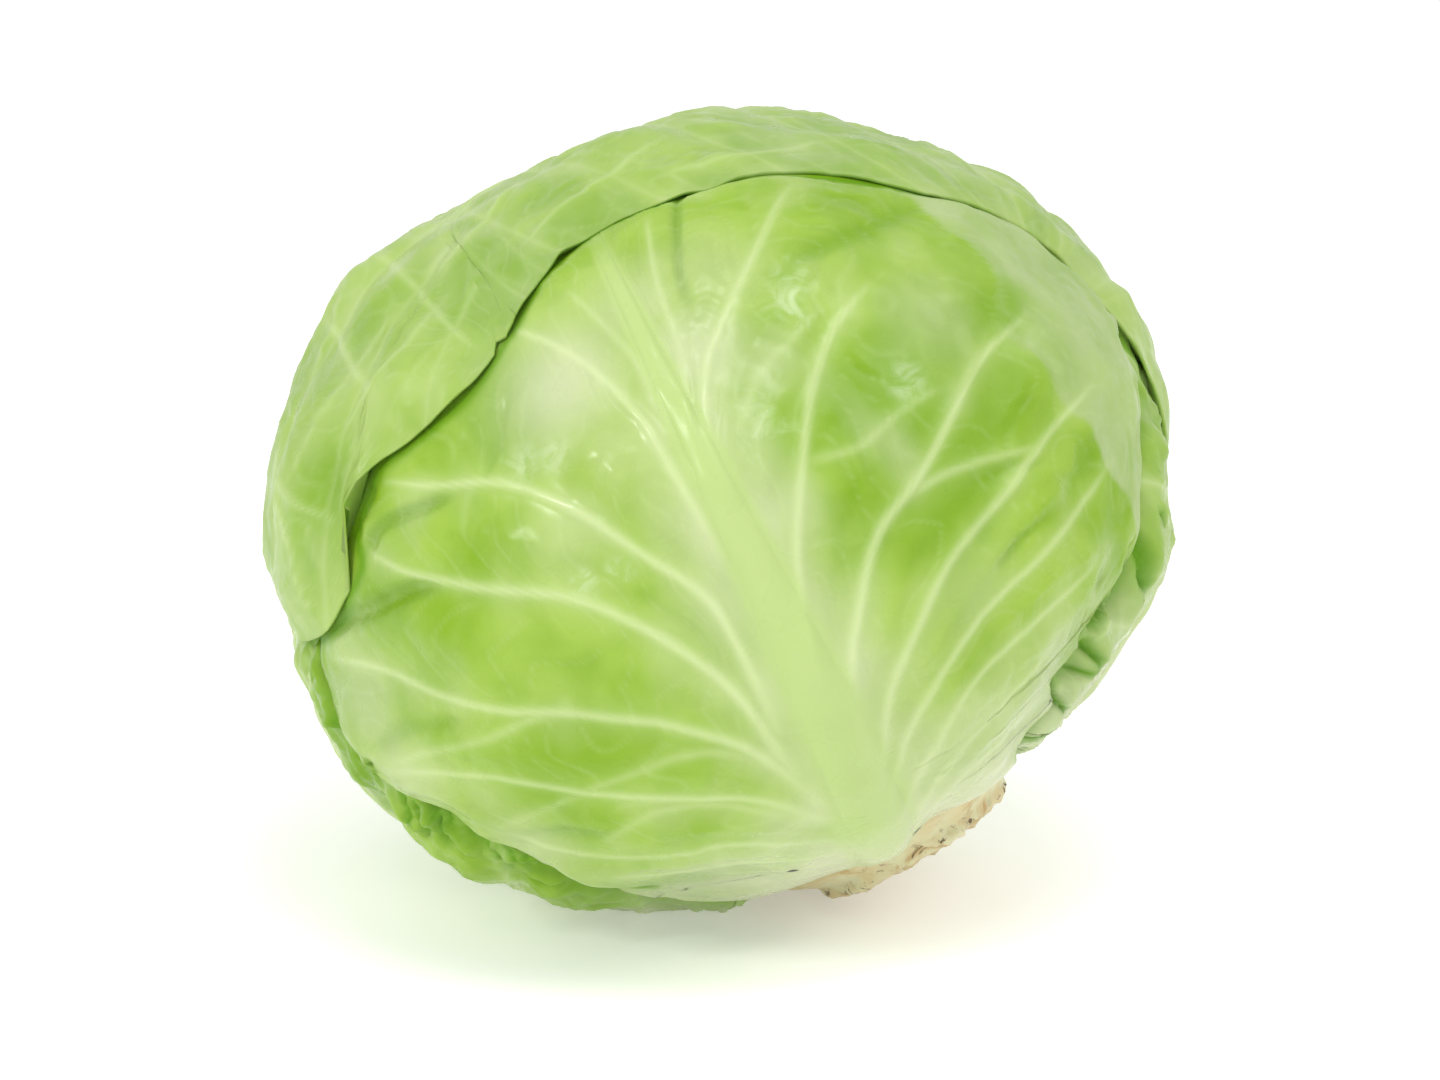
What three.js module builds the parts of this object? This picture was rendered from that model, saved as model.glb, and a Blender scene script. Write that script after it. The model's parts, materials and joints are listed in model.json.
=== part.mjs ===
// A whole head of green cabbage lying tilted on its side, in millimetres, +Z up.
// The origin is the middle of the flat spot that the head rests on, and -Y is the front.
// A dense inner head carries the cut stem and five wrapper leaves, which lie over one another like tiles.
import * as THREE from 'three';

// ---- driving dimensions, mm unless a name says otherwise
const HEAD_CENTRE = [12, 0, 75.2];
const HEAD_WIDE_RADIUS = 88.9;
const HEAD_TALL_RADIUS = 76.9;
const HEAD_TILT_DEG = 16.5;
const STEM_DIRECTION = [0.515, -0.115, -0.853];
const STEM_RADIUS = 20.5;
const STEM_FACE_REACH = 76.5;
const STEM_ROOT_REACH = 51;
const BLADE_THICKNESS = 1.2;
const LEAF_GAP = 0.8;
const LAYER = BLADE_THICKNESS + LEAF_GAP;
const OVERLAP_REACH = 6;
const OVERLAP_SLOPE = 13;
const RELIEF_FADE = 7;
const BLEND_REACH = 12;
const BLEND_WIDTH = 18;
const MEAN_RADIUS = 83;
const VEIN_HEIGHT = 1.15;
const MARCH_STEP_DEG = 1.5;
const LONGEST_VEIN = 170;
const VEIN_BEND = 9;
const STEM_ARC_BEND = 18;
const STEM_ARC_HEADING = 110;

// Bulges and hollows of the head: [direction angle in the front view in degrees, height, spread in degrees].
const FRONT_BULGES = [
  [152, 3.2, 16], [198, -2.4, 14], [116, -2.0, 12], [135, -1.2, 8], [20, 1.6, 12],
  [330, -3.0, 14], [237, -1.5, 10], [262, 1.6, 20],
];
const VIEW_RISE_DEG = 13;
const STEM_HOLLOW = [-10, 19];

// ---- small vector helpers
const DEG = Math.PI / 180;
const add = (a, b) => a.map((value, i) => value + b[i]);
const times = (a, k) => a.map((value) => value * k);
const dot = (a, b) => a[0] * b[0] + a[1] * b[1] + a[2] * b[2];
const cross = (a, b) => [
  a[1] * b[2] - a[2] * b[1],
  a[2] * b[0] - a[0] * b[2],
  a[0] * b[1] - a[1] * b[0],
];
const unit = (a) => times(a, 1 / Math.hypot(...a));
const clamp = (x, low, high) => Math.min(Math.max(x, low), high);
const mix = (a, b, k) => a + (b - a) * k;
const smooth = (x) => {
  const k = clamp(x, 0, 1);
  return k * k * (3 - 2 * k);
};
const angleDeg = (a, b) => Math.acos(clamp(dot(a, b), -1, 1)) / DEG;

// ---- the head's own surface: a tilted flattened ball with soft bulges
const stemAxis = unit(STEM_DIRECTION);
const headAxis = [-Math.sin(HEAD_TILT_DEG * DEG), 0, Math.cos(HEAD_TILT_DEG * DEG)];
const frontUp = [0, Math.sin(VIEW_RISE_DEG * DEG), Math.cos(VIEW_RISE_DEG * DEG)];
const frontOut = [0, -Math.cos(VIEW_RISE_DEG * DEG), Math.sin(VIEW_RISE_DEG * DEG)];
const bulges = FRONT_BULGES.map(([turn, height, spread]) => ({
  centre: add([Math.cos(turn * DEG), 0, 0], times(frontUp, Math.sin(turn * DEG))),
  height,
  spread,
}));
bulges.push({ centre: stemAxis, height: STEM_HOLLOW[0], spread: STEM_HOLLOW[1] });

function headRadius(d) {
  const along = dot(d, headAxis) ** 2;
  let radius = 1 / Math.sqrt(along / HEAD_TALL_RADIUS ** 2 + (1 - along) / HEAD_WIDE_RADIUS ** 2);
  for (const { centre, height, spread } of bulges) {
    radius += height * Math.exp(-0.5 * (angleDeg(d, centre) / spread) ** 2);
  }
  return radius;
}

// ---- directions around the stem: turn 0 faces the front, and y grows from the stem towards the crown
const frontFromStem = unit(add(frontOut, times(stemAxis, -dot(frontOut, stemAxis))));
const sideFromStem = cross(stemAxis, frontFromStem);

function leafFrame(turnDeg) {
  const c = Math.cos(turnDeg * DEG);
  const s = Math.sin(turnDeg * DEG);
  return {
    out: add(times(frontFromStem, c), times(sideFromStem, s)),
    side: add(times(frontFromStem, -s), times(sideFromStem, c)),
  };
}

function direction(frame, x, y) {
  const cosX = Math.cos(x * DEG);
  const middle = add(times(stemAxis, cosX * Math.cos(y * DEG)), times(frame.out, cosX * Math.sin(y * DEG)));
  return add(middle, times(frame.side, Math.sin(x * DEG)));
}

function chart(frame, d) {
  const x = Math.asin(clamp(dot(d, frame.side), -1, 1)) / DEG;
  const y = Math.atan2(dot(d, frame.out), dot(d, stemAxis)) / DEG;
  return [x, y < -75 ? y + 360 : y];
}

// ---- wrapper leaves, innermost first
// margin: [x, y] in degrees, x across the midrib and y along it, round the leaf from its left foot.
// veins: [y on the left, heading on the left, y on the right, heading on the right] in degrees, foot to tip.
// sway: x of the midrib at its foot and at its tip, and how far its last stretch hooks to the side.
const STEM_ARC_RIGHT = [[-16, 12], [-10, 16.4]];
const STEM_ARC_LEFT = [[0, 19.2], [10, 16.4], [16, 12]];
const LEAF_FOOT_DEG = 19.2;
const COMMON_VEINS = [
  [19, 150, 19, 150], [31, 112, 30, 112], [43, 86, 41, 88], [56, 70, 54, 72],
  [72, 58, 69, 60], [90, 48, 87, 50], [110, 38, 106, 40], [127, 28, 125, 30],
];

const LEAVES = [
  {
    name: 'leaf_rear', turn: 172, colour: 0x9fc169, ribHeight: 3.6, ribWidth: 12, wave: 1.5, puff: 1.2,
    columns: 7, sway: [0, 3, 0],
    margin: [[19, 22], [36, 34], [52, 54], [61, 80], [60, 108], [46, 130], [22, 142], [0, 145],
      [-22, 142], [-46, 130], [-60, 108], [-61, 80], [-52, 54], [-36, 34], [-19, 22]],
    veins: [...COMMON_VEINS, [143, 70, 143, 70]],
  },
  {
    name: 'leaf_right', turn: -85, colour: 0xa9ca6f, ribHeight: 3.6, ribWidth: 12, wave: 2.6, puff: 2.4,
    columns: 7, sway: [0, -4, 0],
    margin: [[20, 20], [40, 20], [54, 36], [64, 60], [64, 90], [56, 116], [36, 134], [0, 142],
      [-30, 136], [-52, 118], [-60, 92], [-58, 62], [-46, 40], [-32, 28], [-20, 20]],
    veins: [...COMMON_VEINS, [140, 70, 140, 70]],
  },
  {
    name: 'leaf_left', turn: 88, colour: 0xa4c964, ribHeight: 3.2, ribWidth: 12, wave: 2.2, puff: 2.2,
    columns: 7, sway: [0, 3, 0],
    margin: [[20, 20], [36, 30], [52, 52], [60, 80], [58, 110], [44, 134], [20, 146], [0, 148],
      [-28, 145], [-50, 130], [-62, 104], [-64, 74], [-58, 42], [-46, 18], [-30, 10]],
    veins: [...COMMON_VEINS, [146, 70, 146, 70]],
  },
  {
    name: 'leaf_front', turn: 0, colour: 0xb2cf7d, ribHeight: 4.2, ribWidth: 13, wave: 3.8, puff: 1.6,
    columns: 8, sway: [5, -5, 0],
    margin: [[19, 24], [20, 35], [25, 41], [32, 47], [37, 56], [42, 66], [49, 76], [59, 83], [65, 93],
      [63, 108], [57, 124], [42, 141], [20, 151], [0, 154], [-20, 154], [-42, 148], [-60, 134], [-70, 112],
      [-72, 88], [-67, 67], [-57, 55], [-50, 52], [-45, 53], [-38, 48], [-31, 46], [-26, 42], [-21, 34],
      [-17, 22]],
    veins: [
      [19, 150, 19, 150], [29, 122, 30, 124], [38, 112, 41, 113], [46, 103, 51, 101], [51, 76, 56, 90],
      [55, 64, 60, 80], [59.5, 51, 66, 77], [68, 41, 72, 64], [86, 40, 83, 48], [98, 24, 100, 44],
      [112, 18, 107, 18], [131, 20, 130, 20], [152, 70, 152, 70],
    ],
  },
  {
    name: 'leaf_top', turn: -150, colour: 0xacc979, ribHeight: 4.2, ribWidth: 14, wave: 1.2, puff: 1.0,
    columns: 8, sway: [0, -4, 15],
    margin: [[19, 22], [40, 34], [58, 46], [70, 62], [75, 95], [74, 130], [73, 160], [67, 183], [57, 192],
      [46, 201], [36, 208], [26, 214], [18, 221], [13, 229], [5, 236], [-4, 240], [-14, 243], [-24, 250],
      [-34, 254], [-48, 246], [-62, 224], [-69, 190], [-69, 150], [-63, 108], [-48, 68], [-32, 40],
      [-19, 22]],
    veins: [
      [19, 150, 19, 150], [31, 116, 32, 116], [43, 96, 45, 98], [57, 84, 59, 86], [72, 76, 74, 78],
      [88, 70, 90, 72], [105, 66, 107, 68], [122, 62, 125, 64], [140, 58, 143, 60], [158, 54, 161, 56],
      [176, 50, 179, 52], [193, 45, 195, 46], [207, 38, 208, 33], [219, 30, 219, 22], [229.5, 70, 229.5, 12],
    ],
  },
];

for (const leaf of LEAVES) {
  leaf.frame = leafFrame(leaf.turn);
  const points = [...STEM_ARC_LEFT, ...leaf.margin, ...STEM_ARC_RIGHT];
  const curve = new THREE.CatmullRomCurve3(points.map(([x, y]) => new THREE.Vector3(x, y, 0)), true);
  leaf.outline = curve.getPoints(points.length * 4).slice(0, -1).map((p) => [p.x, p.y]);
  leaf.outlineDirections = leaf.outline.map(([x, y]) => direction(leaf.frame, x, y));
}

function insideOutline(outline, [x, y]) {
  let inside = false;
  outline.forEach(([ax, ay], i) => {
    const [bx, by] = outline[(i + 1) % outline.length];
    if ((ay > y) !== (by > y) && x < ax + ((bx - ax) * (y - ay)) / (by - ay)) inside = !inside;
  });
  return inside;
}

// Distance in mm from a direction to the leaf's margin, negative within the leaf.
function marginDistance(leaf, d) {
  let nearest = Infinity;
  const edge = leaf.outlineDirections;
  edge.forEach((a, i) => {
    const span = add(edge[(i + 1) % edge.length], times(a, -1));
    const offset = add(d, times(a, -1));
    const k = clamp(dot(offset, span) / dot(span, span), 0, 1);
    nearest = Math.min(nearest, Math.hypot(...add(offset, times(span, -k))));
  });
  return nearest * MEAN_RADIUS * (insideOutline(leaf.outline, chart(leaf.frame, d)) ? -1 : 1);
}

// ---- the stack of layers over the inner head
function stackAt(d) {
  const distances = LEAVES.map((leaf) => marginDistance(leaf, d));
  const cover = distances.map((s) => smooth(1 - (s - OVERLAP_REACH) / OVERLAP_SLOPE));
  const wide = distances.map((s) => smooth(0.5 - (s - BLEND_REACH) / (2 * BLEND_WIDTH)));
  const ground = headRadius(d) - LAYER * wide.reduce((a, b) => a + b, 0);
  const floorReach = d[2] < -0.2 ? HEAD_CENTRE[2] / -d[2] : Infinity;
  const surface = (level) => {
    const below = cover.slice(0, level + 1).reduce((a, b) => a + b, 0);
    const above = cover.slice(level + 1).reduce((a, b) => a + b, 0);
    const limit = d[2] < -0.2 ? (HEAD_CENTRE[2] - LAYER * above) / -d[2] : Infinity;
    return Math.min(ground + LAYER * below, limit);
  };
  const bare = (level) => distances
    .slice(level + 1)
    .reduce((free, s) => free * (1 - smooth(1 - (s - OVERLAP_REACH) / RELIEF_FADE)), 1);
  return { surface, bare, floorReach };
}

// ---- side veins: lines that leave the midrib and bend away from it
function veinAt(leaf, place, left) {
  const last = leaf.veins.length - 1;
  const index = clamp(Math.floor(place), 0, last - 1);
  const k = clamp(place - index, 0, 1);
  const offset = left ? 0 : 2;
  const y = mix(leaf.veins[index][offset], leaf.veins[index + 1][offset], k);
  const heading = mix(leaf.veins[index][offset + 1], leaf.veins[index + 1][offset + 1], k);
  return { y, heading, start: Math.min(heading, mix(28, 90, smooth((heading - 40) / 70))) };
}

// Share of the way along the midrib, from 0 at its foot to 1 at its tip.
const shareAlong = (leaf, y) => (y - LEAF_FOOT_DEG) / (leaf.veins.at(-1)[0] - LEAF_FOOT_DEG);

function midribX(leaf, y) {
  const [foot, tip, hook] = leaf.sway;
  const share = shareAlong(leaf, y);
  return mix(foot, tip, share) + hook * smooth((share - 0.82) / 0.18);
}

function ribHalfWidth(leaf, y) {
  return 0.5 * leaf.ribWidth * mix(1, 0.16, smooth(shareAlong(leaf, y) * 1.05)) / MEAN_RADIUS / DEG;
}

// The midrib is highest a little way from the stem and dies away towards the tip.
function ribHeight(leaf, y) {
  const share = shareAlong(leaf, y);
  return leaf.ribHeight * mix(0.45, 1, smooth(share / 0.16)) * mix(1, 0.2, smooth(share * 1.05));
}

// Points along a side vein, from the edge of the midrib to the margin.
function tracedVein(leaf, place, left) {
  const { y: foot, heading, start } = veinAt(leaf, place, left);
  const hand = left ? 1 : -1;
  let x = midribX(leaf, foot) + hand * ribHalfWidth(leaf, foot);
  let y = foot;
  const bendLength = heading > STEM_ARC_HEADING ? STEM_ARC_BEND : VEIN_BEND;
  const path = [[x, y]];
  for (let u = MARCH_STEP_DEG / 2; u < LONGEST_VEIN; u += MARCH_STEP_DEG) {
    const now = (start + (heading - start) * (1 - Math.exp(-u / bendLength))) * DEG;
    x += hand * MARCH_STEP_DEG * Math.sin(now);
    y += MARCH_STEP_DEG * Math.cos(now);
    path.push([x, y]);
    if (!insideOutline(leaf.outline, [x, y])) break;
  }
  const [beforeX, beforeY] = path.at(-2);
  let low = 0;
  let high = 1;
  for (let i = 0; i < 12; i += 1) {
    const middle = (low + high) / 2;
    if (insideOutline(leaf.outline, [mix(beforeX, x, middle), mix(beforeY, y, middle)])) low = middle;
    else high = middle;
  }
  path[path.length - 1] = [mix(beforeX, x, low), mix(beforeY, y, low)];
  return path.map(([px, py]) => direction(leaf.frame, px, py));
}

function pointAlong(path, t) {
  const lengths = [0];
  for (let i = 1; i < path.length; i += 1) {
    lengths.push(lengths[i - 1] + Math.hypot(...add(path[i], times(path[i - 1], -1))));
  }
  const wanted = t * lengths[lengths.length - 1];
  const index = clamp(lengths.findIndex((value) => value >= wanted) - 1, 0, path.length - 2);
  const k = (wanted - lengths[index]) / (lengths[index + 1] - lengths[index] || 1);
  return unit(add(times(path[index], 1 - k), times(path[index + 1], k)));
}

// Rows of a leaf: each side vein has a crest row between two shoulder rows, and a row runs between veins.
const ROW_STEPS = [0, 1, 2, -1];

function leafRows(leaf) {
  const last = leaf.veins.length - 1;
  const rows = [];
  for (let vein = 0; vein < last; vein += 1) {
    for (const step of ROW_STEPS) rows.push(step < 0 ? { vein: vein + 1, step } : { vein, step });
  }
  rows.push({ vein: last, step: 0 });
  return rows;
}

// The place of a row among the veins: its shoulders spread out towards the margin.
function rowPlace({ vein, step }, t) {
  if (step === 2) return vein + 0.5;
  return vein + step * mix(0.16, 0.26, smooth(t * 1.3));
}

// The vein's crest and the rise of the blade between veins, at a share t of the way to the margin.
function reliefAt(leaf, { vein, step }, t, left) {
  const phase = left ? 0.4 : 1.7;
  const place = step === 2 ? vein + 0.5 : vein + 0.2 * step;
  const beat = 0.72 + 0.28 * Math.sin(vein * 2.4 + phase * 2);
  const share = step === 2 ? 1 : 0.6 * Math.abs(step);
  const crest = step === 0 ? VEIN_HEIGHT * mix(0.4, 1, smooth(t / 0.13)) * (1 - smooth(t * 1.05)) : 0;
  const between = leaf.puff * beat * share * smooth((t - 0.2) / 0.6);
  const edgeWave = leaf.wave * smooth((t - 0.6) / 0.4) * (0.5 + 0.5 * Math.sin(place * 1.9 + phase));
  return { crest, lift: (between + edgeWave) * smooth((place - 0.3) / 2.2) };
}

function leafBody(leaf, level) {
  const rows = leafRows(leaf);
  const outer = [];
  const inner = [];
  for (const row of rows) {
    const sideOfRow = (left) => {
      const points = [];
      for (let column = 0; column <= leaf.columns; column += 1) {
        const t = column / leaf.columns;
        const d = pointAlong(tracedVein(leaf, rowPlace(row, t), left), t);
        points.push({ d, rib: 0, ...reliefAt(leaf, row, t, left) });
      }
      return points;
    };
    const place = rowPlace(row, 0);
    const leftY = veinAt(leaf, place, true).y;
    const rightY = veinAt(leaf, place, false).y;
    const ribPoint = (share) => {
      const y = mix(rightY, leftY, (share + 1) / 2);
      const x = midribX(leaf, y) + share * ribHalfWidth(leaf, y);
      const rib = ribHeight(leaf, y) * (1 - 0.8 * share ** 2);
      return { d: direction(leaf.frame, x, y), rib, crest: 0, lift: 0 };
    };
    const rightSide = sideOfRow(false).reverse();
    const leftSide = sideOfRow(true);
    const line = [...rightSide, ribPoint(-0.6), ribPoint(0), ribPoint(0.6), ...leftSide];
    outer.push([]);
    inner.push([]);
    for (const { d, rib, crest, lift } of line) {
      const { surface, bare, floorReach } = stackAt(d);
      const free = bare(level);
      const bottom = surface(level - 1) + LEAF_GAP + lift * free;
      const top = surface(level) + (rib + crest + lift) * free;
      const outside = Math.min(top, floorReach);
      outer.at(-1).push(add(HEAD_CENTRE, times(d, outside)));
      inner.at(-1).push(add(HEAD_CENTRE, times(d, Math.min(bottom, outside - BLADE_THICKNESS))));
    }
  }
  return closedShell(outer, inner);
}

// A closed body between two equal grids of points, with both faces split into triangles alike.
function closedShell(outer, inner) {
  const rowCount = outer.length;
  const columnCount = outer[0].length;
  const positions = [...outer.flat(), ...inner.flat()];
  const top = (i, j) => i * columnCount + j;
  const bottom = (i, j) => rowCount * columnCount + i * columnCount + j;
  const triangles = [];
  for (let i = 0; i + 1 < rowCount; i += 1) {
    for (let j = 0; j + 1 < columnCount; j += 1) {
      const corners = [[i, j], [i, j + 1], [i + 1, j + 1], [i + 1, j]];
      const split = j < (columnCount - 1) / 2 ? [[0, 1, 3], [1, 2, 3]] : [[0, 1, 2], [0, 2, 3]];
      for (const [a, b, c] of split) {
        triangles.push([top(...corners[a]), top(...corners[c]), top(...corners[b])]);
        triangles.push([bottom(...corners[a]), bottom(...corners[b]), bottom(...corners[c])]);
      }
    }
  }
  const rim = [];
  for (let j = 0; j + 1 < columnCount; j += 1) rim.push([0, j]);
  for (let i = 0; i + 1 < rowCount; i += 1) rim.push([i, columnCount - 1]);
  for (let j = columnCount - 1; j > 0; j -= 1) rim.push([rowCount - 1, j]);
  for (let i = rowCount - 1; i > 0; i -= 1) rim.push([i, 0]);
  rim.forEach((a, k) => {
    const b = rim[(k + 1) % rim.length];
    triangles.push([top(...a), bottom(...b), bottom(...a)], [top(...a), top(...b), bottom(...b)]);
  });
  return { positions, triangles };
}

// ---- inner head: rings round the stem, with a seat for the stem's root
const RING_COUNT = 24;
const SEAT_RADIUS = 20.5;
const SEAT_DEPTH_GAP = 0.6;
const INNER_HEAD_GAP = 0.4;

function innerHeadBody() {
  const seatReach = STEM_ROOT_REACH - SEAT_DEPTH_GAP;
  const seatAngle = Math.atan(SEAT_RADIUS / seatReach) / DEG;
  const rings = [9, 16, seatAngle, seatAngle + 2.5];
  for (let y = seatAngle + 10; y < 176; y += 10.5) rings.push(y);
  const frame = leafFrame(0);
  const ringPoint = (theta, turn) => {
    const around = add(times(frame.out, Math.cos(turn)), times(frame.side, Math.sin(turn)));
    const d = add(times(stemAxis, Math.cos(theta * DEG)), times(around, Math.sin(theta * DEG)));
    const seat = theta <= seatAngle ? seatReach / Math.cos(theta * DEG) : Infinity;
    return add(HEAD_CENTRE, times(d, Math.min(seat, stackAt(d).surface(-1) - INNER_HEAD_GAP)));
  };
  const positions = [ringPoint(0, 0), ringPoint(180, 0)];
  for (const theta of rings) {
    for (let k = 0; k < RING_COUNT; k += 1) positions.push(ringPoint(theta, (2 * Math.PI * k) / RING_COUNT));
  }
  return ringedBody(positions, rings.length, RING_COUNT);
}

// A closed body from a first pole, a last pole and rings of points between them.
function ringedBody(positions, ringTotal, count) {
  const at = (ring, k) => 2 + ring * count + (k % count);
  const triangles = [];
  for (let k = 0; k < count; k += 1) {
    triangles.push([0, at(0, k), at(0, k + 1)]);
    for (let ring = 0; ring + 1 < ringTotal; ring += 1) {
      triangles.push([at(ring, k), at(ring + 1, k + 1), at(ring, k + 1)]);
      triangles.push([at(ring, k), at(ring + 1, k), at(ring + 1, k + 1)]);
    }
    triangles.push([1, at(ringTotal - 1, k + 1), at(ringTotal - 1, k)]);
  }
  return { positions, triangles };
}

// ---- cut stem: a stump with a softened cut edge, low leaf scars and a slightly narrower root
const STEM_SIDES = 28;
const STEM_PROFILE = [
  [STEM_FACE_REACH + 0.35, 9], [STEM_FACE_REACH + 0.2, 16], [STEM_FACE_REACH - 0.2, 19.4],
  [STEM_FACE_REACH - 1.1, STEM_RADIUS], [STEM_FACE_REACH - 3.4, STEM_RADIUS - 0.3],
  [STEM_FACE_REACH - 6, STEM_RADIUS - 0.5], [STEM_ROOT_REACH + 10, STEM_RADIUS - 1.8],
  [STEM_ROOT_REACH + 2, 17.4], [STEM_ROOT_REACH, 14],
];
const SCAR_HEIGHT = 0.35;

function stemBody() {
  const frame = leafFrame(0);
  const axial = (reach) => add(HEAD_CENTRE, times(stemAxis, reach));
  const positions = [axial(STEM_FACE_REACH + 0.4), axial(STEM_ROOT_REACH)];
  STEM_PROFILE.forEach(([reach, radius], ring) => {
    for (let k = 0; k < STEM_SIDES; k += 1) {
      const turn = (2 * Math.PI * k) / STEM_SIDES;
      const scar = ring > 2 && ring < 6 ? SCAR_HEIGHT * Math.sin(5 * turn + ring * 1.3) - SCAR_HEIGHT : 0;
      const around = add(times(frame.out, Math.cos(turn)), times(frame.side, Math.sin(turn)));
      positions.push(add(axial(reach), times(around, radius + scar)));
    }
  });
  return ringedBody(positions, STEM_PROFILE.length, STEM_SIDES);
}

// ---- meshes
function namedMesh(name, { positions, triangles }, colour) {
  const geometry = new THREE.BufferGeometry();
  geometry.setAttribute('position', new THREE.Float32BufferAttribute(positions.flat(), 3));
  geometry.setIndex(triangles.flat());
  geometry.computeVertexNormals();
  const mesh = new THREE.Mesh(geometry, new THREE.MeshStandardMaterial({ color: colour, roughness: 0.5 }));
  mesh.name = name;
  return mesh;
}

const cabbage = new THREE.Group();
cabbage.name = 'cabbage';
cabbage.add(namedMesh('stem', stemBody(), 0xd9cf9a));
cabbage.add(namedMesh('inner_head', innerHeadBody(), 0xc9dba0));
LEAVES.forEach((leaf, level) => cabbage.add(namedMesh(leaf.name, leafBody(leaf, level), leaf.colour)));

export default cabbage;
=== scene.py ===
"""A whole head of green cabbage lying tilted on its side: five veined wrapper leaves round a dense head
and a cut stem. Shapes are worked out in millimetres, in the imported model's frame, and made in metres."""
import json
import math

import bpy
import numpy as np
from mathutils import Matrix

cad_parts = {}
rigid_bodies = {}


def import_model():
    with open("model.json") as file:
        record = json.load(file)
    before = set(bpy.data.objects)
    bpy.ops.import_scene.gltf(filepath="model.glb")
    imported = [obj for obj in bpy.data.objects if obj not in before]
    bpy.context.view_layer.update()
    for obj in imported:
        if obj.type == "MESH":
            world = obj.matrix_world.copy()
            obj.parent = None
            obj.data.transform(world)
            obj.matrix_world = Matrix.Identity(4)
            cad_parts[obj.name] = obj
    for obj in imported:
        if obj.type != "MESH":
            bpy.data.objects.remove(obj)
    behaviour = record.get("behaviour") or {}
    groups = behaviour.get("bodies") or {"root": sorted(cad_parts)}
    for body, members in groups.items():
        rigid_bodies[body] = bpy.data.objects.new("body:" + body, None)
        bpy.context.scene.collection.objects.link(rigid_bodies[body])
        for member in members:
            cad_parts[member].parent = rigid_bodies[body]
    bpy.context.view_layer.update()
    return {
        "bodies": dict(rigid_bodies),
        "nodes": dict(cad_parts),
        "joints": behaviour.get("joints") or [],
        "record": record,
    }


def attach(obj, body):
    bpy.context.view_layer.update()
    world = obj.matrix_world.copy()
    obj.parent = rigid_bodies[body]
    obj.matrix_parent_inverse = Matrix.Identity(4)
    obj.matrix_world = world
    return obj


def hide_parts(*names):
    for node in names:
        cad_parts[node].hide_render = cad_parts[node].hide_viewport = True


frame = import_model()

MM = 0.001

# ---- driving dimensions, mm unless a name or a comment says otherwise
HEAD_CENTRE = np.array([12.0, 0.0, 75.2])
HEAD_WIDE_RADIUS = 88.9
HEAD_TALL_RADIUS = 76.9
HEAD_TILT = math.radians(16.5)
STEM_DIRECTION = (0.515, -0.115, -0.853)
STEM_FACE_REACH = 76.5
STEM_ROOT_REACH = 51.0
BLADE_THICKNESS = 1.2
LEAF_GAP = 0.8
LAYER = BLADE_THICKNESS + LEAF_GAP
OVERLAP_REACH = 6.0
OVERLAP_SLOPE = 13.0
BLEND_REACH = 12.0
BLEND_WIDTH = 18.0
MEAN_RADIUS = 83.0
LEAF_FOOT_DEG = 19.2
VIEW_RISE = math.radians(13)

# Bulges and hollows: direction angle in the front view in degrees, height in mm, spread in degrees.
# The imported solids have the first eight.
FRONT_BULGES = [
    (152, 3.2, 16), (198, -2.4, 14), (116, -2.0, 12), (135, -1.2, 8), (20, 1.6, 12),
    (330, -3.0, 14), (237, -1.5, 10), (262, 1.6, 20),
    (142, -3.0, 10), (75, -0.9, 14), (246, -3.0, 12), (328, 2.2, 7),
]
STEM_HOLLOW = (-10, 19)
LOW_FRONT_DIRECTION = (-0.1, -0.6, -0.79)
LOW_FRONT_HOLLOW = (-2.4, 9)


# ---- small helpers
def unit(v):
    v = np.asarray(v, float)
    return v / np.linalg.norm(v, axis=-1, keepdims=True)


def smooth(x):
    k = np.clip(x, 0, 1)
    return k * k * (3 - 2 * k)


def mix(a, b, k):
    return a + (b - a) * k


def ridge(distance, width):
    """1 on a line, and less and less over a width to each side of it."""
    return np.exp(-(distance / width) ** 2)


def angle_from(d, centre):
    """Angle in degrees between directions and one direction."""
    return np.degrees(np.arccos(np.clip(d @ centre, -1, 1)))


class Ripple:
    """Smooth repeatable unevenness: a sum of waves whose lengths lie round one size in mm."""

    def __init__(self, length, waves=26, seed=1):
        r = np.random.default_rng(seed)
        self.k = unit(r.normal(size=(waves, 3))) * (2 * np.pi / (length * r.uniform(0.6, 1.7, (waves, 1))))
        self.phase = r.uniform(0, 2 * np.pi, waves)

    def __call__(self, points):
        flat = np.asarray(points, float).reshape(-1, 3)
        total = np.zeros(len(flat))
        for k, phase in zip(self.k, self.phase):
            total += np.sin(flat @ k + phase)
        return (total / math.sqrt(len(self.phase) / 2)).reshape(np.shape(points)[:-1])


# ---- the head's own surface: a tilted flattened ball with soft bulges
STEM_AXIS = unit(STEM_DIRECTION)
HEAD_AXIS = np.array([-math.sin(HEAD_TILT), 0, math.cos(HEAD_TILT)])
FRONT_UP = np.array([0, math.sin(VIEW_RISE), math.cos(VIEW_RISE)])
FRONT_OUT = np.array([0, -math.cos(VIEW_RISE), math.sin(VIEW_RISE)])
bulges = [
    (np.array([math.cos(math.radians(a)), 0, 0]) + FRONT_UP * math.sin(math.radians(a)), height, spread)
    for a, height, spread in FRONT_BULGES
]
bulges.append((STEM_AXIS, *STEM_HOLLOW))
bulges.append((unit(LOW_FRONT_DIRECTION), *LOW_FRONT_HOLLOW))


def head_radius(d):
    along = (d @ HEAD_AXIS) ** 2
    radius = 1 / np.sqrt(along / HEAD_TALL_RADIUS ** 2 + (1 - along) / HEAD_WIDE_RADIUS ** 2)
    for centre, height, spread in bulges:
        angle = angle_from(d, centre)
        radius = radius + height * np.exp(-0.5 * (angle / spread) ** 2)
    return radius


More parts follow.
